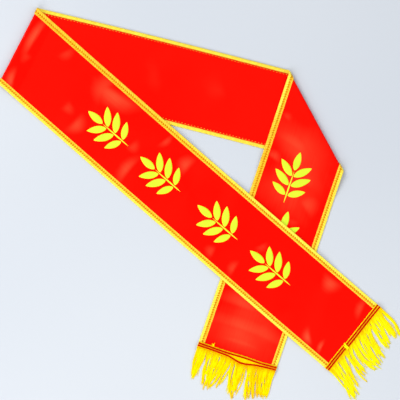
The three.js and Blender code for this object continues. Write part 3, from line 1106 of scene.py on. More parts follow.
# The last number of each crest is how strongly its highlight is painted on.
CRESTS = (
    Crest(0.800, 0.032, 0.032, 0.007, 81.0, 0.0008, 0.9),
    Crest(0.787, -0.005, 0.009, 0.011, -5.0, 0.0003, 0.25),
    Crest(0.780, -0.053, 0.017, 0.007, 64.0, 0.0006, 0.75),
    Crest(0.734, 0.049, 0.015, 0.009, -70.0, 0.0003, 0.3),
    Crest(0.643, 0.044, 0.025, 0.016, 86.0, 0.0006, 0.45),
    Crest(0.617, 0.047, 0.039, 0.015, -8.0, 0.0008, 0.8),
    Crest(0.636, -0.037, 0.018, 0.011, -86.0, 0.0006, 0.55),
    Crest(0.668, -0.024, 0.010, 0.011, -86.0, 0.0003, 0.3),
    Crest(0.515, -0.037, 0.026, 0.009, 88.0, 0.0006, 0.55),
    Crest(0.533, 0.001, 0.011, 0.009, -72.0, 0.0003, 0.3),
    Crest(0.494, 0.048, 0.014, 0.006, -78.0, 0.0005, 0.45),
    Crest(0.439, 0.039, 0.017, 0.011, 90.0, 0.0006, 0.55),
    Crest(0.302, -0.049, 0.011, 0.009, 80.0, 0.0004, 0.45),
    Crest(0.252, -0.047, 0.013, 0.007, 79.0, 0.0004, 0.45),
    Crest(0.237, 0.017, 0.012, 0.007, -67.0, 0.0004, 0.3),
    Crest(0.099, 0.049, 0.016, 0.012, -5.0, 0.0007, 0.75),
    Crest(0.028, 0.048, 0.018, 0.007, 73.0, 0.0006, 0.45),
    Crest(0.067, -0.053, 0.013, 0.007, 37.0, 0.0006, 0.8),
    Crest(0.038, -0.051, 0.011, 0.004, 74.0, 0.0006, 0.8),
    Crest(0.969, -0.010, 0.030, 0.015, -52.0, 0.0004, 0.1),
    Crest(1.069, -0.005, 0.045, 0.022, -64.0, 0.0004, 0.08),
    Crest(1.192, 0.002, 0.045, 0.022, -54.0, 0.0004, 0.08),
    Crest(1.384, 0.053, 0.010, 0.007, -60.0, 0.0002, 0.3),
    Crest(1.428, 0.022, 0.044, 0.016, -69.0, 0.0004, 0.5),
    Crest(1.446, 0.008, 0.075, 0.034, -48.0, 0.0003, 0.4),
    Crest(1.459, 0.053, 0.013, 0.008, -70.0, 0.0003, 0.45),
    Crest(1.482, -0.017, 0.024, 0.020, -60.0, 0.0006, 0.35),
    Crest(1.518, 0.008, 0.056, 0.050, -66.0, 0.0003, 0.36),
    Crest(1.525, -0.032, 0.021, 0.016, -56.0, 0.0006, 0.5),
    Crest(1.562, -0.017, 0.013, 0.009, 87.0, 0.0004, 0.3),
    Crest(1.731, 0.023, 0.040, 0.016, -85.0, 0.0006, 0.55),
    Crest(1.785, 0.002, 0.064, 0.056, -80.0, 0.0003, 0.42),
    Crest(1.771, 0.000, 0.064, 0.018, -89.0, 0.0007, 0.65),
    Crest(1.800, 0.000, 0.050, 0.009, -90.0, 0.0005, 0.5),
)


@dataclass
class Relief:
    """The satin's small rises and the highlight painted over them, read at places on the flat band."""

    band: FoldedBand
    crests: Sequence[Crest] = CRESTS
    half_turn: float = 0.01
    fold_early: float = 0.04
    rim: float = 0.012

    def _most(self, kind: str, u: Array, v: Array) -> Array:
        """Gives the most of one kind that any of the crests has at each place."""
        return np.max([getattr(crest, kind) * crest.share(u, v) for crest in self.crests], axis=0)

    def rise(self, u: Array, v: Array) -> Array:
        """Gives how far the satin lies off its usual surface, upwards on whichever face is on top.

        Args:
            u: the lengths along the band.
            v: the lengths across it.

        Returns:
            The distances towards the front face, which are negative on the middle run.
        """
        band, turn = self.band, self.half_turn
        into = ease(-turn, turn, u - band.middle_start)
        back_up = into * ease(-turn, turn, band.back_start - self.fold_early - u)
        inside = 1.0 - ease(band.braid_inner - self.rim, band.braid_inner, np.abs(v))
        return self._most("rise", u, v) * inside * (1.0 - 2.0 * back_up)

    def glow(self, u: Array, v: Array) -> Array:
        """Gives how strongly the crests' highlight is painted into the satin's colour."""
        return self._most("glow", u, v)


@dataclass
class Satin:
    """The satin strip from end to end."""

    band: FoldedBand
    relief: Relief
    thick: float = 0.0006
    columns: int = 48

    def build(self, material: Material) -> Object:
        """Builds the satin on the band's own rows, with a row more at each end.

        Args:
            material: the satin's finish.

        Returns:
            The piece.
        """
        band, rows = self.band, self.band.rows
        centre = rows.along[:, band.columns // 2]
        inside = np.flatnonzero((centre > 0.0) & (centre < band.length))
        last = inside.size + 1
        sheet = ClothSheet(last, self.columns)
        row = np.rint(sheet.along * last).astype(int)
        v = (sheet.across - 0.5) * band.satin_width
        column = (v - band.across[0]) / (band.across[1] - band.across[0])
        j = column.astype(int)
        picked = inside[np.clip(row - 1, 0, inside.size - 1)]
        u = mix(rows.along[picked, j], rows.along[picked, j + 1], column - j)
        u = np.where(row == 0, band.span(0.0, v), u)
        u = np.where(row == last, band.span(1.0, v), u)
        # Paints the crests' highlight into the satin's colour, as a number that its material reads.
        write_shade(sheet.mesh, "glow", self.relief.glow(u, v))
        mesh = sheet.lay(band.place(u, v, self.relief.rise(u, v)), u, v, self.thick)
        piece = show("satin_cloth", mesh, material)
        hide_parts("satin_band")
        return piece


# The lengths that each braid has in the CAD model.
LENGTHS = ("front", "left_fold", "middle", "right_fold", "back")

# Stretches of the band where the braids look a deeper gold, and how much deeper each of them looks. A stretch
# comes in over its first two lengths and goes over the last two.
GOLDEN = ((0.25, 0.65, 0.82, 0.9), (1.36, 1.42, 1.5, 1.62))
GOLDEN_SHARE = {Edge.LOWER: 0.15, Edge.UPPER: 0.8}


@dataclass
class Braid:
    """A gimp braid: two ribs of close slanting loops over a tape, with a row of stitches down the groove.

    Places across it are shares of its width from its inner edge. The loops' slants and half widths are in
    pitches, and their seat, rise and round are shares of loop_high. Seat is how high the braid's underside
    lies off the middle of the satin. More stitches, which hold the braid, show on the back of the satin.
    """

    band: FoldedBand
    edge: Edge
    pitch: float = 0.0022
    groove: float = 0.45
    margin: float = 0.02
    seat: float = 0.0008
    loop_slant: float = 1.6
    loop_half: float = 0.62
    loop_high: float = 0.0008
    loop_seat: float = 0.25
    loop_rise: float = 0.45
    loop_round: float = 0.5
    tones: tuple[float, float] = (0.36, 0.98)
    outer_pale: tuple[float, float] = (0.42, 0.62)
    inner_pale: tuple[float, float] = (0.08, 0.28)
    inner_share: float = 0.5
    every_other: float = 0.2
    under_across: tuple[float, float] = (0.41, 0.985)
    under_slant: float = 1.2
    under_half: float = 0.6
    under_drop: float = 0.0002
    under_high: float = 0.0003
    under_tone: float = 0.8
    inset: float = 0.06
    uneven: float = 0.12
    tape_step: float = 0.002
    tape_columns: int = 6
    tape_margin: float = 0.03
    tape_drop: float = 0.00005
    tape_thick: float = 0.0004
    stitch: float = 0.0046
    stitch_across: float = 0.4
    stitch_slant: float = 0.0012
    stitch_half: float = 0.0013
    stitch_round: float = 0.00025
    stitch_seat: float = 0.95
    stitch_tone: float = 0.5
    back_stitch: float = 0.006
    back_inset: float = 0.0018
    back_reach: tuple[float, float] = (0.35, 0.65)
    back_half: float = 0.0004
    back_drop: float = 0.0003
    back_bow: float = 0.00025
    back_round: float = 0.00015
    seed: int = 5
    under_seed: int = 15

    def across(self, share: Array) -> Array:
        """Turns a share of the braid's width, from its inner edge, into a place across the band."""
        return self.edge.value * mix(self.band.braid_inner, self.band.half_width, share)

    def build(self, materials: Materials) -> Pieces:
        """Builds the braid's loops, its tape, and the stitches in its groove and on the satin's back.

        Args:
            materials: the finishes by name.

        Returns:
            The pieces.
        """
        name = self.edge.name.lower()
        meshes = (
            ("braid_loops", self._loops(), "braid"),
            ("braid_tape", self._tape(), "tape"),
            ("braid_under_loops", self._under_loops(), "braid"),
            ("braid_stitches", self._stitches(), "groove"),
            ("back_stitches", self._back_stitches(), "braid"),
        )
        pieces = [show(f"{name}_{part}", mesh, materials[finish]) for part, mesh, finish in meshes]
        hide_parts(*(f"{name}_braid_{length}" for length in LENGTHS))
        return pieces

    def _tone(self, u: Array, share: Array) -> Array:
        """Gives the loops' tone: palest on the outer rib, and deeper along the golden stretches.

        Args:
            u: the lengths along the band.
            share: the places across the braid.

        Returns:
            The tones.
        """
        golden = sum(ease(a, b, u) * (1.0 - ease(c, d, u)) for a, b, c, d in GOLDEN)
        inner = self.inner_share * (1.0 - ease(*self.inner_pale, share))
        pale = ease(*self.outer_pale, share) + inner
        return mix(*self.tones, pale * (1.0 - GOLDEN_SHARE[self.edge] * golden))

    def _loops(self) -> Mesh:
        """Makes the loops: for each pitch, one across the inner rib and one across the outer rib.

        Returns:
            Their mesh.
        """
        pitches = round(self.band.length / self.pitch)
        row = YarnRow(2 * pitches, sides=6, cuts=4)
        pair, outer = row.number // 2, row.number % 2
        low = np.where(outer, self.groove + self.margin, self.margin)
        high = np.where(outer, 1.0 - self.margin, self.groove - self.margin)
        share = mix(low, high, row.share)
        v = self.across(share)
        slant = np.where(outer, self.loop_slant, -self.loop_slant) * (row.share - 0.5)
        u = self.band.span((pair + 0.5) / pitches, v) + (slant + row.round_x * self.loop_half) * self.pitch
        rise = arch(row.share, self.inset)
        high = self.loop_seat + self.loop_rise * rise + self.loop_round * rise * row.round_y
        w = self.seat + self.loop_high * high
        rng = np.random.default_rng(self.seed + self.edge.value)
        tone = self._tone(u, share) - self.every_other * (pair % 2)
        return row.lay(self.band.place(u, v, w), tone + row.vary(rng, -self.uneven, self.uneven))

    def _under_loops(self) -> Mesh:
        """Makes the loops on the underside, where the braid stands out past the satin's edge.

        Returns:
            Their mesh.
        """
        pitches = round(self.band.length / self.pitch)
        row = YarnRow(pitches, sides=5, cuts=3)
        v = self.across(mix(*self.under_across, row.share))
        slant = self.under_slant * (row.share - 0.5) + row.round_x * self.under_half
        u = self.band.span((row.number + 0.5) / pitches, v) + slant * self.pitch
        w = self.seat - self.under_drop - self.under_high * arch(row.share, self.inset) * (1.0 + row.round_y)
        rng = np.random.default_rng(self.under_seed + self.edge.value)
        shade = self.under_tone + row.vary(rng, -self.uneven, self.uneven)
        return row.lay(self.band.place(u, v, w), shade)

    def _tape(self) -> Mesh:
        """Makes the tape that the loops are worked on.

        Returns:
            Its mesh.
        """
        sheet = ClothSheet(round(self.band.length / self.tape_step), self.tape_columns)
        v = self.across(mix(self.tape_margin, 1.0 - self.tape_margin, sheet.across))
        u = self.band.span(sheet.along, v)
        return sheet.lay(self.band.place(u, v, self.seat - self.tape_drop), u, v, self.tape_thick)

    def _stitches(self) -> Mesh:
        """Makes the row of machine stitches in the groove.

        Returns:
            Their mesh.
        """
        count = round(self.band.length / self.stitch)
        row = YarnRow(count, sides=5, cuts=3)
        off = row.share - 0.5
        v = self.across(self.groove - self.margin + self.stitch_across * off)
        slant = self.stitch_slant * off + self.stitch_half * hump(row.share, 0.1, 0.9) * row.round_x
        u = self.band.span((row.number + 0.5) / count, v) + slant
        w = self.seat + self.loop_high * self.stitch_seat + self.stitch_round * row.round_y
        return row.lay(self.band.place(u, v, w), self.stitch_tone)

    def _back_stitches(self) -> Mesh:
        """Makes the machine stitches that hold the braid, where they show on the back of the satin.

        Returns:
            Their mesh.
        """
        count = round(self.band.length / self.back_stitch)
        row = YarnRow(count, sides=5, cuts=2)
        v = self.edge.value * (self.band.satin_width / 2 - self.back_inset) + self.back_half * row.round_x
        u = (row.number + mix(*self.back_reach, row.share)) / count * self.band.length
        w = -self.back_drop - self.back_bow * hump(row.share) + self.back_round * row.round_y
        return row.lay(self.band.place(u, v, w), self.stitch_tone)


@dataclass(frozen=True)
class Stray:
    """How far a header's inner and outer edges stray at a share of the half width, as shares of its width."""

    across: float
    inner: float
    outer: float


FRONT_HEADER = (
    Stray(-1, -0.02, 0),
    Stray(-0.32, -0.04, -0.04),
    Stray(-0.22, 0.05, 0.08),
    Stray(0.5, 0, 0),
    Stray(1, -0.08, -0.03),
)
BACK_HEADER = (
    Stray(-1, 0, 0),
    Stray(-0.55, 0.12, 0.2),
    Stray(-0.15, 0.06, 0.6),
    Stray(0.25, 0.12, 0.14),
    Stray(1, 0, 0),
)


@dataclass(frozen=True)
class Lock:
    """A lock of a fringe: its place as a share of the half width, its length share, and its tip's lean."""

    across: float
    long: float
    lean: float


FRONT_LOCKS = (
    Lock(-0.96, 1.1, -14),
    Lock(-0.83, 1.2, -22),
    Lock(-0.69, 0.98, -20),
    Lock(-0.56, 1.05, -4),
    Lock(-0.42, 0.93, -8),
    Lock(-0.28, 1.02, 5),
    Lock(-0.14, 1.12, 2),
    Lock(0, 1.12, -13),
    Lock(0.14, 0.98, -8),
    Lock(0.28, 1.05, -16),
    Lock(0.42, 0.92, -12),
    Lock(0.56, 0.98, -19),
    Lock(0.69, 0.84, -20),
    Lock(0.83, 1.05, -25),
    Lock(0.96, 1.08, -22),
)
BACK_LOCKS = (
    Lock(-0.96, 0.9, 2),
    Lock(-0.83, 0.82, 16),
    Lock(-0.69, 0.88, 20),
    Lock(-0.56, 1, 22),
    Lock(-0.42, 1.08, 14),
    Lock(-0.28, 1, -10),
    Lock(-0.14, 0.92, 8),
    Lock(0, 1.12, 18),
    Lock(0.14, 0.95, -6),
    Lock(0.28, 1.1, -14),
    Lock(0.42, 1.02, -18),
    Lock(0.56, 1.15, 10),
    Lock(0.69, 1.08, 14),
    Lock(0.83, 0.98, -4),
    Lock(0.96, 0.9, 12),
)


@dataclass
class End:
    """An end of the band, where a header and a fringe are sewn on."""

    band: FoldedBand
    name: str
    run: Run
    lean: float
    bed: Bed
    strays: Sequence[Stray]
    locks: Sequence[Lock]
    header_width: float = 0.012
    header_past: float = 0.003
    header_climb: float = 0.008

    def plan(self, past: Array, v: Array) -> tuple[Array, Array]:
        """Finds points in plan by how far they lie past the satin's end, and where across the band."""
        return self.run.plan(self.run.length + past + self.lean * self.run.side * v, v)

    def seat(self, v: Array) -> Array:
        """Gives how high the header's underside rides, on the satin and on the braids at its edges.

        Args:
            v: the lengths across the band.

        Returns:
            The heights over what the end of the band lies on.
        """
        band = self.band
        inner = band.braid_inner
        on_braid = ease(inner - self.header_climb, inner - band.gap, np.abs(v))
        return band.satin_thick + band.gap + on_braid * (band.braid_thick + band.gap)

    def line(self, kind: str, v: Array) -> Array:
        """Finds one of the header's two long edges.

        Args:
            kind: inner or outer.
            v: the lengths across the band.

        Returns:
            How far past the satin's end the edge lies there.
        """
        marks = [stray.across * self.band.half_width for stray in self.strays]
        strays = self.header_width * flow(v, marks, [getattr(stray, kind) for stray in self.strays])
        return self.header_past - (self.header_width if kind == "inner" else 0.0) + strays

    def place(self, past: Array, v: Array, up: Array | float) -> Array:
        """Carries places on the header to the room.

        Args:
            past: lengths past the satin's end.
            v: lengths across the band.
            up: heights over the header's seat.

        Returns:
            An array of points, one row each.
        """
        x, y = self.plan(past, v)
        return np.stack([x, y, self.bed(x, y) + self.seat(v) + up], axis=1) + self.band.shift


@dataclass
class Header:
    """The heading of a fringe: close loops of yarn over a tape, with two chain cords worked along it.

    The loops' slant and half width are in pitches, and cord_bow and cord_half are shares of the cords' width.
    Cord_tone gives the cords' middle tone, how far it goes to each side, and how fast.
    """

    end: End
    loops: int = 104
    loop_slant: float = 1.2
    loop_half: float = 0.6
    loop_high: float = 0.0009
    loop_inset: float = 0.03
    loop_tone: float = 0.55
    ragged: float = 0.0003
    ragged_reach: float = 0.1
    uneven: float = 0.15
    tape_rows: int = 12
    tape_columns: int = 76
    tape_inset: float = 0.0006
    tape_margin: float = 0.04
    tape_high: float = 0.0005
    cord_inner: float = 0.0031
    cord_outer: float = 0.0073
    cord_inset: float = 0.0005
    cord_wide: float = 0.0032
    cord_bow: float = 0.27
    cord_half: float = 0.3
    cord_high: float = 0.0005
    cord_rise: float = 0.0002
    cord_seat: float = 0.85
    cord_taper: float = 0.08
    cord_least: float = 0.35
    cord_tone: tuple[float, float, float] = (0.5, 0.2, 2.4)
    stitch: float = 0.0022
    overlap: float = 1.25
    seed: int = 11

    def build(self, materials: Materials) -> Pieces:
        """Builds the tape, its loops and its two cords.

        Args:
            materials: the finishes by name.

        Returns:
            The pieces.
        """
        name = self.end.name
        yarn = name + "_yarn"
        pieces = [
            show(name + "_header_tape", self._tape(), materials["tape"]),
            show(name + "_header_loops", self._loops(), materials[yarn]),
        ]
        for kind, offset in (("inner", self.cord_inner), ("outer", self.cord_outer - self.end.header_width)):
            cord = show(f"{name}_cord_{kind}", self._cord(kind, offset), materials["cord"])
            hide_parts(f"{name}_chain_{kind}")
            pieces.append(cord)
        return pieces

    def _tape(self) -> Mesh:
        """Makes the tape under the loops.

        Returns:
            Its mesh.
        """
        end = self.end
        sheet = ClothSheet(self.tape_rows, self.tape_columns)
        v = (sheet.across - 0.5) * 2 * (end.band.half_width - self.tape_inset)
        share = mix(self.tape_margin, 1.0 - self.tape_margin, sheet.along)
        past = mix(end.line("inner", v), end.line("outer", v), share)
        return sheet.lay(end.place(past, v, self.tape_high / 2), past, v, self.tape_high)

    def _loops(self) -> Mesh:
        """Makes the loops of yarn that run side by side over the tape.

        Returns:
            Their mesh.
        """
        end, half = self.end, self.end.band.half_width
        row = YarnRow(self.loops, sides=6, cuts=7)
        pitch = 2 * half / self.loops
        rng = np.random.default_rng(self.seed)
        slant = self.loop_slant * (row.share - 0.5) + row.round_x * self.loop_half
        v = np.clip(-half + (row.number + 0.5 + slant) * pitch, -half, half)
        past = mix(end.line("inner", v), end.line("outer", v), row.share)
        past = past + row.vary(rng, -self.ragged, self.ragged) * (row.share < self.ragged_reach)
        up = self.tape_high + self.loop_high / 2 * arch(row.share, self.loop_inset) * (1 + row.round_y)
        return row.lay(end.place(past, v, up), self.loop_tone + row.vary(rng, -self.uneven, self.uneven))

    def _cord(self, kind: str, offset: float) -> Mesh:
        """Makes a cord of chain stitches: pairs of slanting yarns that meet in points.

        Args:
            kind: the edge of the header that it follows, inner or outer.
            offset: how far past that edge it lies.

        Returns:
            Its mesh.
        """
        end, half = self.end, self.end.band.half_width - self.cord_inset
        row = YarnRow(2 * round(2 * half / self.stitch), sides=6, cuts=4)
        side = np.where(row.number % 2, 1.0, -1.0)
        fat = arch(row.share, self.cord_taper)
        v = np.clip(-half + (row.number // 2 + row.share * self.overlap) * self.stitch, -half, half)
        bow = side * self.cord_bow * mix(self.cord_least, 1.0, hump(row.share, 0.1, 0.9))
        past = end.line(kind, v) + offset + self.cord_wide * (bow + self.cord_half * fat * row.round_x)
        base = self.tape_high + self.loop_high * self.cord_seat
        up = base + self.cord_high * fat * (1 + row.round_y) + self.cord_rise * row.share
        middle, swing, step = self.cord_tone
        return row.lay(end.place(past, v, up), middle + swing * np.cos(row.number * step))


@dataclass
class Hang:
    """How a fringe's yarns hang, with one number for each yarn.

    v is where it is sewn on across the band. Lean, in degrees, grows towards its tip, and so does gather, in
    radians, which takes it towards its lock. Aside turns its root. Swing and phase shape its wave, and layer
    says how high it lies among the others.
    """

    v: Array
    lean: Array
    length: Array
    gather: Array
    aside: Array
    swing: Array
    phase: Array
    layer: Array


@dataclass
class Fringe:
    """The yarns of a fringe: each hangs from the header, in one of the locks that they gather in.

    Each clump of yarns, each yarn and the strays among them differ in lean, in degrees, in length, as a
    share, and in swing, in degrees.
    """

    end: End
    sweep: float
    seed: int
    clumps: int = 62
    per_clump: int = 8
    steps: int = 14
    radius: float = 0.00055
    girths: tuple[float, float] = (0.8, 1.25)
    tip_start: float = 0.85
    tip_taper: float = 0.55
    # Painted shade: the yarns' tone starts darker at their roots, under the header, and rises to the second
    # tone over the reach given next.
    tones: tuple[float, float] = (0.34, 0.7)
    root_shade_reach: tuple[float, float] = (0.03, 0.2)
    uneven: float = 0.2
    length: float = 0.06
    under_header: float = 0.002
    inset: float = 0.001
    lift: float = 0.0002
    fall: float = 0.016
    thin: float = 0.0006
    thick: float = 0.0017
    layers: float = 0.9
    settle: float = 0.3
    tip_flat: float = 0.6
    edge_hold: float = 0.85
    tip_width: float = 0.3
    lock_pull: float = 0.35
    scatter: float = 0.0004
    tangle: float = 0.0045
    clump_lean: float = 6.0
    clump_long: tuple[float, float] = (0.88, 1.04)
    clump_swing: tuple[float, float] = (2.0, 8.0)
    yarn_lean: float = 1.5
    yarn_long: tuple[float, float] = (0.9, 1.03)
    yarn_swing: float = 3.0
    strays: float = 0.08
    stray_lean: float = 12.0
    stray_long: float = 0.93
    waves: float = 7.0
    out_of_step: float = 0.3

    def build(self, material: Material) -> Object:
        """Builds the yarns.

        Args:
            material: the yarn's finish.

        Returns:
            The piece.
        """
        count = self.clumps * self.per_clump
        row = YarnRow(count, sides=5, cuts=self.steps - 1)
        paths, aims = self._paths(self._hang(count))
        section = np.rint(row.share * self.steps).astype(int)
        places, aim = paths[row.number, section], aims[row.number, section]
        rng = np.random.default_rng(self.seed + 1)
        taper = 1.0 - self.tip_taper * ease(self.tip_start, 1.0, row.share)
        girth = self.radius * row.vary(rng, *self.girths) * taper
        places[:, 0] -= np.sin(aim) * girth * row.round_x
        places[:, 1] += np.cos(aim) * girth * row.round_x
        places[:, 2] += girth * (1.0 + row.round_y)
        depth = rng.uniform(-self.uneven, self.uneven, count)
        depth = depth + rng.uniform(-self.uneven, self.uneven, self.clumps).repeat(self.per_clump)
        # The yarns are painted darker towards their roots as shade under the header, and each yarn and clump
        # differs in tone at random.
        shade = mix(*self.tones, ease(*self.root_shade_reach, row.share)) + depth[row.number]
        name = self.end.name
        places += self.end.band.shift
        piece = show(name + "_fringe_yarns", row.lay(places, shade), material)
        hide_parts(name + "_fringe")
        return piece

    def _hang(self, count: int) -> Hang:
        """Draws how the yarns hang.

        Args:
            count: how many yarns there are.

        Returns:
            How they hang.
        """
        rng = np.random.default_rng(self.seed)
        half, edge = self.end.band.half_width, self.end.band.half_width - self.inset
        clump = np.arange(count) // self.per_clump
        v = edge * np.linspace(-1.0, 1.0, count) + rng.normal(0.0, self.scatter, count)
        v = np.clip(v, -edge, edge)
        free = 1.0 - self.edge_hold * (v / half) ** 4
        tangle = free * rng.normal(0.0, self.tangle, self.clumps)[clump]
        drift = self.sweep * (1.0 - (v / half) ** 2) + tangle
        goal = np.clip(v - drift, -edge, edge)
        marks = half * np.array([lock.across for lock in self.end.locks])
        middle = goal.reshape(self.clumps, -1).mean(axis=1)
        own = np.abs(marks[:, None] - middle).argmin(axis=0)[clump]
        lean = np.array([lock.lean for lock in self.end.locks])[own]
        long = np.array([lock.long for lock in self.end.locks])[own]
        side = (middle[clump] - marks[own]) * self.lock_pull
        off = goal - middle[clump]
        lean = lean + free * rng.normal(0.0, self.clump_lean, self.clumps)[clump]
        long = long * rng.uniform(*self.clump_long, self.clumps)[clump]
        loose = rng.random(count) < self.strays
        lean = lean + rng.normal(0.0, self.yarn_lean, count)
        lean = lean + free * loose * rng.normal(0.0, self.stray_lean, count)
        long = long * rng.uniform(*self.yarn_long, count) * np.where(loose, self.stray_long, 1.0)
        length = self.length * long
        # Nothing uses these numbers. They are drawn so that the ones after them stay as they are.
        rng.uniform(0.0, math.tau, (2, count))
        swing = rng.uniform(*self.clump_swing, self.clumps)[clump] + rng.uniform(0.0, self.yarn_swing, count)
        phase = rng.uniform(0.0, math.tau, self.clumps)[clump]
        phase = phase + self.out_of_step * rng.standard_normal(count)
        gather = -(side + off * (1.0 - self.tip_width)) / length
        aside = self.end.run.side * (goal - v) / length
        return Hang(v, lean, length, gather, aside, swing, phase, layer=rng.uniform(0.0, self.layers, count))

    def _paths(self, hang: Hang) -> tuple[Array, Array]:
        """Lays out the yarns' centre lines, step by step from their roots.

        Args:
            hang: how the yarns hang.

        Returns:
            The points of each centre line, and the heading at each of them.
        """
        end, length = self.end, hang.length
        heading = float(end.run.heading_at(end.run.length))
        x, y = end.plan(end.line("outer", hang.v) - self.under_header, hang.v)
        seat = end.seat(hang.v)
        points, aims = [], []
        for k in range(self.steps + 1):
            f = k / self.steps
            settled = ease(0.0, self.settle, f)
            turn = end.run.side * hang.gather * 2 * f + hang.aside * 2 * (1.0 - f)
            wave = np.radians(hang.swing) * np.sin(hang.phase + f * self.waves) * settled
            aim = heading + np.radians(hang.lean) * f + turn + wave
            if k:
                x = x + np.cos(aim) * length / self.steps
                y = y + np.sin(aim) * length / self.steps
            low = (seat + self.lift) * (1.0 - ease(0.0, self.fall, f * length))
            pile = hang.layer * mix(self.thin, self.thick, settled) * mix(1.0, self.tip_flat, f * f)
            points.append(np.stack([x, y, end.bed(x, y) + low + pile], axis=1))
            aims.append(aim)
        return np.stack(points, axis=1), np.stack(aims, axis=1)


@dataclass
class LooseThreads:
    """A few yarns that have worked loose at a header: they lie over it or curl up beside it.

    Ways and curls are shares of the spread, and reaches and sides are shares of the length.
    """

    end: End
    past: float
    v: float
    count: int
    length: float
    spread: float
    high: float
    radius: float = 0.0005
    ways: float = 0.7
    curls: float = 1.2
    reaches: tuple[float, float] = (0.6, 1.0)
    sides: float = 0.16
    seat: float = 1.2
    tone: float = 0.85
    seed: int = 21

    def build(self, materials: Materials) -> Object:
        """Builds the threads.

        Args:
            materials: the finishes by name.

        Returns:
            The piece.
        """
        row = YarnRow(self.count, sides=5, cuts=7)
        rng = np.random.default_rng(self.seed)
        way = self.spread * row.vary(rng, -self.ways, self.ways)
        curl = self.spread * row.vary(rng, -self.curls, self.curls)
        reach = self.length * row.vary(rng, *self.reaches) * row.share
        side = self.length * row.vary(rng, -self.sides, self.sides)
        aim = way + curl * row.share
        past = self.past - reach * np.cos(aim)
        v = self.v + side + reach * np.sin(aim) + self.radius * row.round_x
        up = self.radius * (self.seat + row.round_y) + self.high * hump(row.share, 0.25, 0.98)
        mesh = row.lay(self.end.place(past, v, up), self.tone)
        yarn = self.end.name + "_yarn"
        return show(self.end.name + "_loose_threads", mesh, materials[yarn])


@dataclass(frozen=True)
class Leaf:
    """A leaf of the sprig, as shares of its size: where on the stem it starts, its angle, length and width.

    One that is turned has a twin on the stem's other side.
    """

    at: float
    angle: float
    long: float
    wide: float

    def turns(self) -> Sequence[float]:
        """Gives the angles of the leaf and its twin, in radians."""
        turn = math.radians(self.angle)
        return (-turn, turn) if turn else (turn,)


# The stem comes first, as the longest and narrowest leaf.
LEAVES = (
    Leaf(-0.53, 0.0, 0.70, 0.026),
    Leaf(-0.34, 62.0, 0.38, 0.14),
    Leaf(-0.13, 56.0, 0.44, 0.155),
    Leaf(0.07, 48.0, 0.42, 0.15),
    Leaf(0.19, 0.0, 0.40, 0.15),
)


@dataclass
class LeafPrint:
    """A printed sprig: a stem with pairs of leaves, and one leaf at its tip, which points along u its way.

    Fullest and full shape a leaf's outline: where it is widest, and how blunt its ends are.
    """

    band: FoldedBand
    relief: Relief
    u: float
    v: float
    way: int
    size: float = 0.086
    stalk: float = 0.03
    least: float = 0.003
    fullest: float = 0.85
    full: float = 0.8
    thick: float = 0.00012
    lift: float = 0.00034

    def build(self, name: str, material: Material) -> Object:
        """Builds the sprig.

        Args:
            name: the piece's name.
            material: the ink.

        Returns:
            The piece.
        """
        bm = bmesh.new()
        for leaf in LEAVES:
            for turn in leaf.turns():
                self._add_leaf(bm, leaf, turn)
        mesh = to_mesh(bm, name)
        places = read_places(mesh)
        u = self.u + self.way * places[:, 1]
        v = self.v + places[:, 0]
        write_places(mesh, self.band.place(u, v, self.relief.rise(u, v) + self.lift))
        thicken(mesh, self.thick)
        return show(name, mesh, material)

    def _add_leaf(self, bm: bmesh.types.BMesh, leaf: Leaf, turn: float) -> None:
        """Adds a flat leaf.

        Args:
            bm: what it is added to.
            leaf: the leaf.
            turn: its angle to the stem, in radians.
        """
        for vert in bmesh.ops.create_grid(bm, x_segments=5, y_segments=16, size=0.5)["verts"]:
            share = vert.co.y + 0.5
            swell = math.sin(math.pi * share**self.fullest) ** self.full if 0.0 < share < 1.0 else 0.0
            across, along = vert.co.x * (swell * leaf.wide + self.least), share * leaf.long + self.stalk
            vert.co.x = (across * math.cos(turn) + along * math.sin(turn)) * self.size
            vert.co.y = (leaf.at + along * math.cos(turn) - across * math.sin(turn)) * self.size


# Where each sprig's middle lies on the flat band, and whether it points along the band or back.
PRINTS = (
    (0.5835, -0.004, 1),
    (0.4578, -0.004, 1),
    (0.3217, -0.002, 1),
    (0.1954, -0.002, 1),
    (1.4913, 0.010, -1),
    (1.6000, -0.003, -1),
)


@dataclass(frozen=True)
class SoftLight:
    """A square soft light that looks at the sash: its place, its side's length and its power in watts."""

    name: str
    place: tuple[float, float, float]
    size: float
    power: float

    def build(self) -> None:
        """Adds the light to the scene."""
        light = bpy.data.lights.new(self.name, "AREA")
        light.size = self.size
        light.energy = self.power
        holder = put(self.name, light)
        holder.location = self.place
        holder.rotation_euler = (-Vector(self.place)).to_track_quat("-Z", "Y").to_euler()


LIGHTS = (
    SoftLight("key", (-1.2, 1.1, 1.9), 1.4, 34.0),
    SoftLight("fill", (1.6, -0.7, 1.7), 1.8, 20.0),
    SoftLight("foot", (-1.0, -1.5, 1.5), 1.6, 30.0),
)


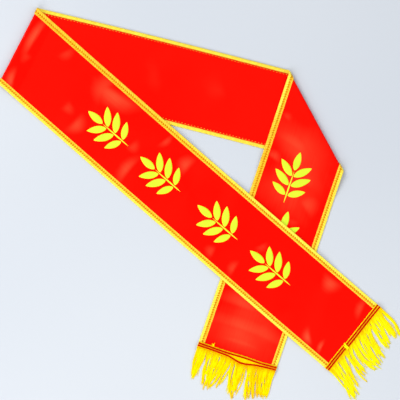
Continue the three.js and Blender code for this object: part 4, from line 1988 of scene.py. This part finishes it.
@dataclass
class Stage:
    """The pale surface, the soft lights and the camera straight above.

    View is the width of the surface that the camera sees, and centre the place that it looks at.
    """

    height: float = 2.7
    view: float = 0.7272
    centre: tuple[float, float] = (0.00034, 0.00849)
    sensor: float = 36.0
    far: float = 20.0
    surface_half: float = 12.0
    surface_drop: float = 0.0002
    room_colour: tuple[float, float, float, float] = (0.93, 0.96, 1.0, 1.0)
    room_strength: float = 0.5

    def build(self) -> None:
        """Builds the surface, the lights, the room's light and the camera."""
        self._surface()
        for light in LIGHTS:
            light.build()
        scene = bpy.context.scene
        scene.world = bpy.data.worlds.new("room")
        scene.world.use_nodes = True
        background = scene.world.node_tree.nodes["Background"]
        background.inputs["Color"].default_value = self.room_colour
        background.inputs["Strength"].default_value = self.room_strength
        camera = bpy.data.cameras.new("camera")
        camera.sensor_width = self.sensor
        camera.lens = self.sensor * self.height / self.view
        camera.clip_end = self.far
        holder = put("camera", camera)
        holder.location = (*self.centre, self.height)
        bpy.context.scene.camera = holder
        scene.view_settings.view_transform = "Standard"
        scene.view_settings.look = "None"

    def _surface(self) -> None:
        """Builds the surface: a wide plane a little below the lowest yarn."""
        bm = bmesh.new()
        bmesh.ops.create_grid(bm, x_segments=1, y_segments=1, size=self.surface_half)
        bmesh.ops.translate(bm, verts=bm.verts, vec=(0.0, 0.0, -self.surface_drop))
        mesh = to_mesh(bm, "floor")
        mesh.materials.append(SURFACE.build())
        put("floor", mesh)


def make_materials() -> Materials:
    """Builds every finish of the sash.

    Returns:
        The materials by name.
    """
    weave, ply = weave_group(), ply_group()
    tape_gleam, tape_thread = (1.0, 0.8, 0.3), 0.0006
    tape = SatinFinish("braid_tape", linear(226, 150, 6), linear(250, 190, 20), tape_gleam, tape_thread)
    yarns = {
        "braid": YarnFinish("braid_gold", linear(252, 160, 0), linear(255, 242, 84)),
        "groove": YarnFinish("groove_thread", linear(204, 124, 0), linear(238, 164, 6)),
        "front_yarn": YarnFinish("lemon_yarn", linear(252, 176, 0), linear(255, 255, 16), turns=40.0),
        "back_yarn": YarnFinish("golden_yarn", linear(252, 164, 0), linear(255, 240, 0), turns=40.0),
        "cord": YarnFinish("rust_cord", linear(180, 0, 0), linear(222, 16, 2), turns=3.0),
    }
    materials = {key: finish.build(ply) for key, finish in yarns.items()}
    materials |= {"satin": SatinFinish().build(weave), "tape": tape.build(weave), "ink": INK.build()}
    return materials


def main() -> None:
    """Builds the sash and its stage, piece by piece."""
    logging.basicConfig(level=logging.INFO, format="%(name)s: %(message)s")
    band = FoldedBand()
    band.align(*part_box("satin_band"))
    materials = make_materials()
    relief = Relief(band)
    satin = Satin(band, relief).build(materials["satin"])
    pieces = []
    for edge in Edge:
        pieces += Braid(band, edge).build(materials)
    front = End(band, "front", band.front, band.front_lean, band.front_bed, FRONT_HEADER, FRONT_LOCKS)
    back = End(band, "back", band.back, band.back_lean, band.off_middle, BACK_HEADER, BACK_LOCKS)
    for fringe in (Fringe(front, sweep=0.016, seed=3, length=0.063), Fringe(back, sweep=0.0, seed=4)):
        pieces += Header(fringe.end).build(materials)
        pieces.append(fringe.build(materials[fringe.end.name + "_yarn"]))
    tuft = LooseThreads(back, past=-0.0078, v=0.0476, count=8, length=0.0075, spread=0.8, high=0.0014)
    knot = LooseThreads(front, past=0.0025, v=-0.0205, count=12, length=0.0142, spread=0.12, high=0.0029)
    pieces += [threads.build(materials) for threads in (tuft, knot)]
    for number, place in enumerate(PRINTS, 1):
        pieces.append(LeafPrint(band, relief, *place).build(f"leaf_print_{number}", materials["ink"]))
    Stage().build()


if __name__ == "__main__":
    main()
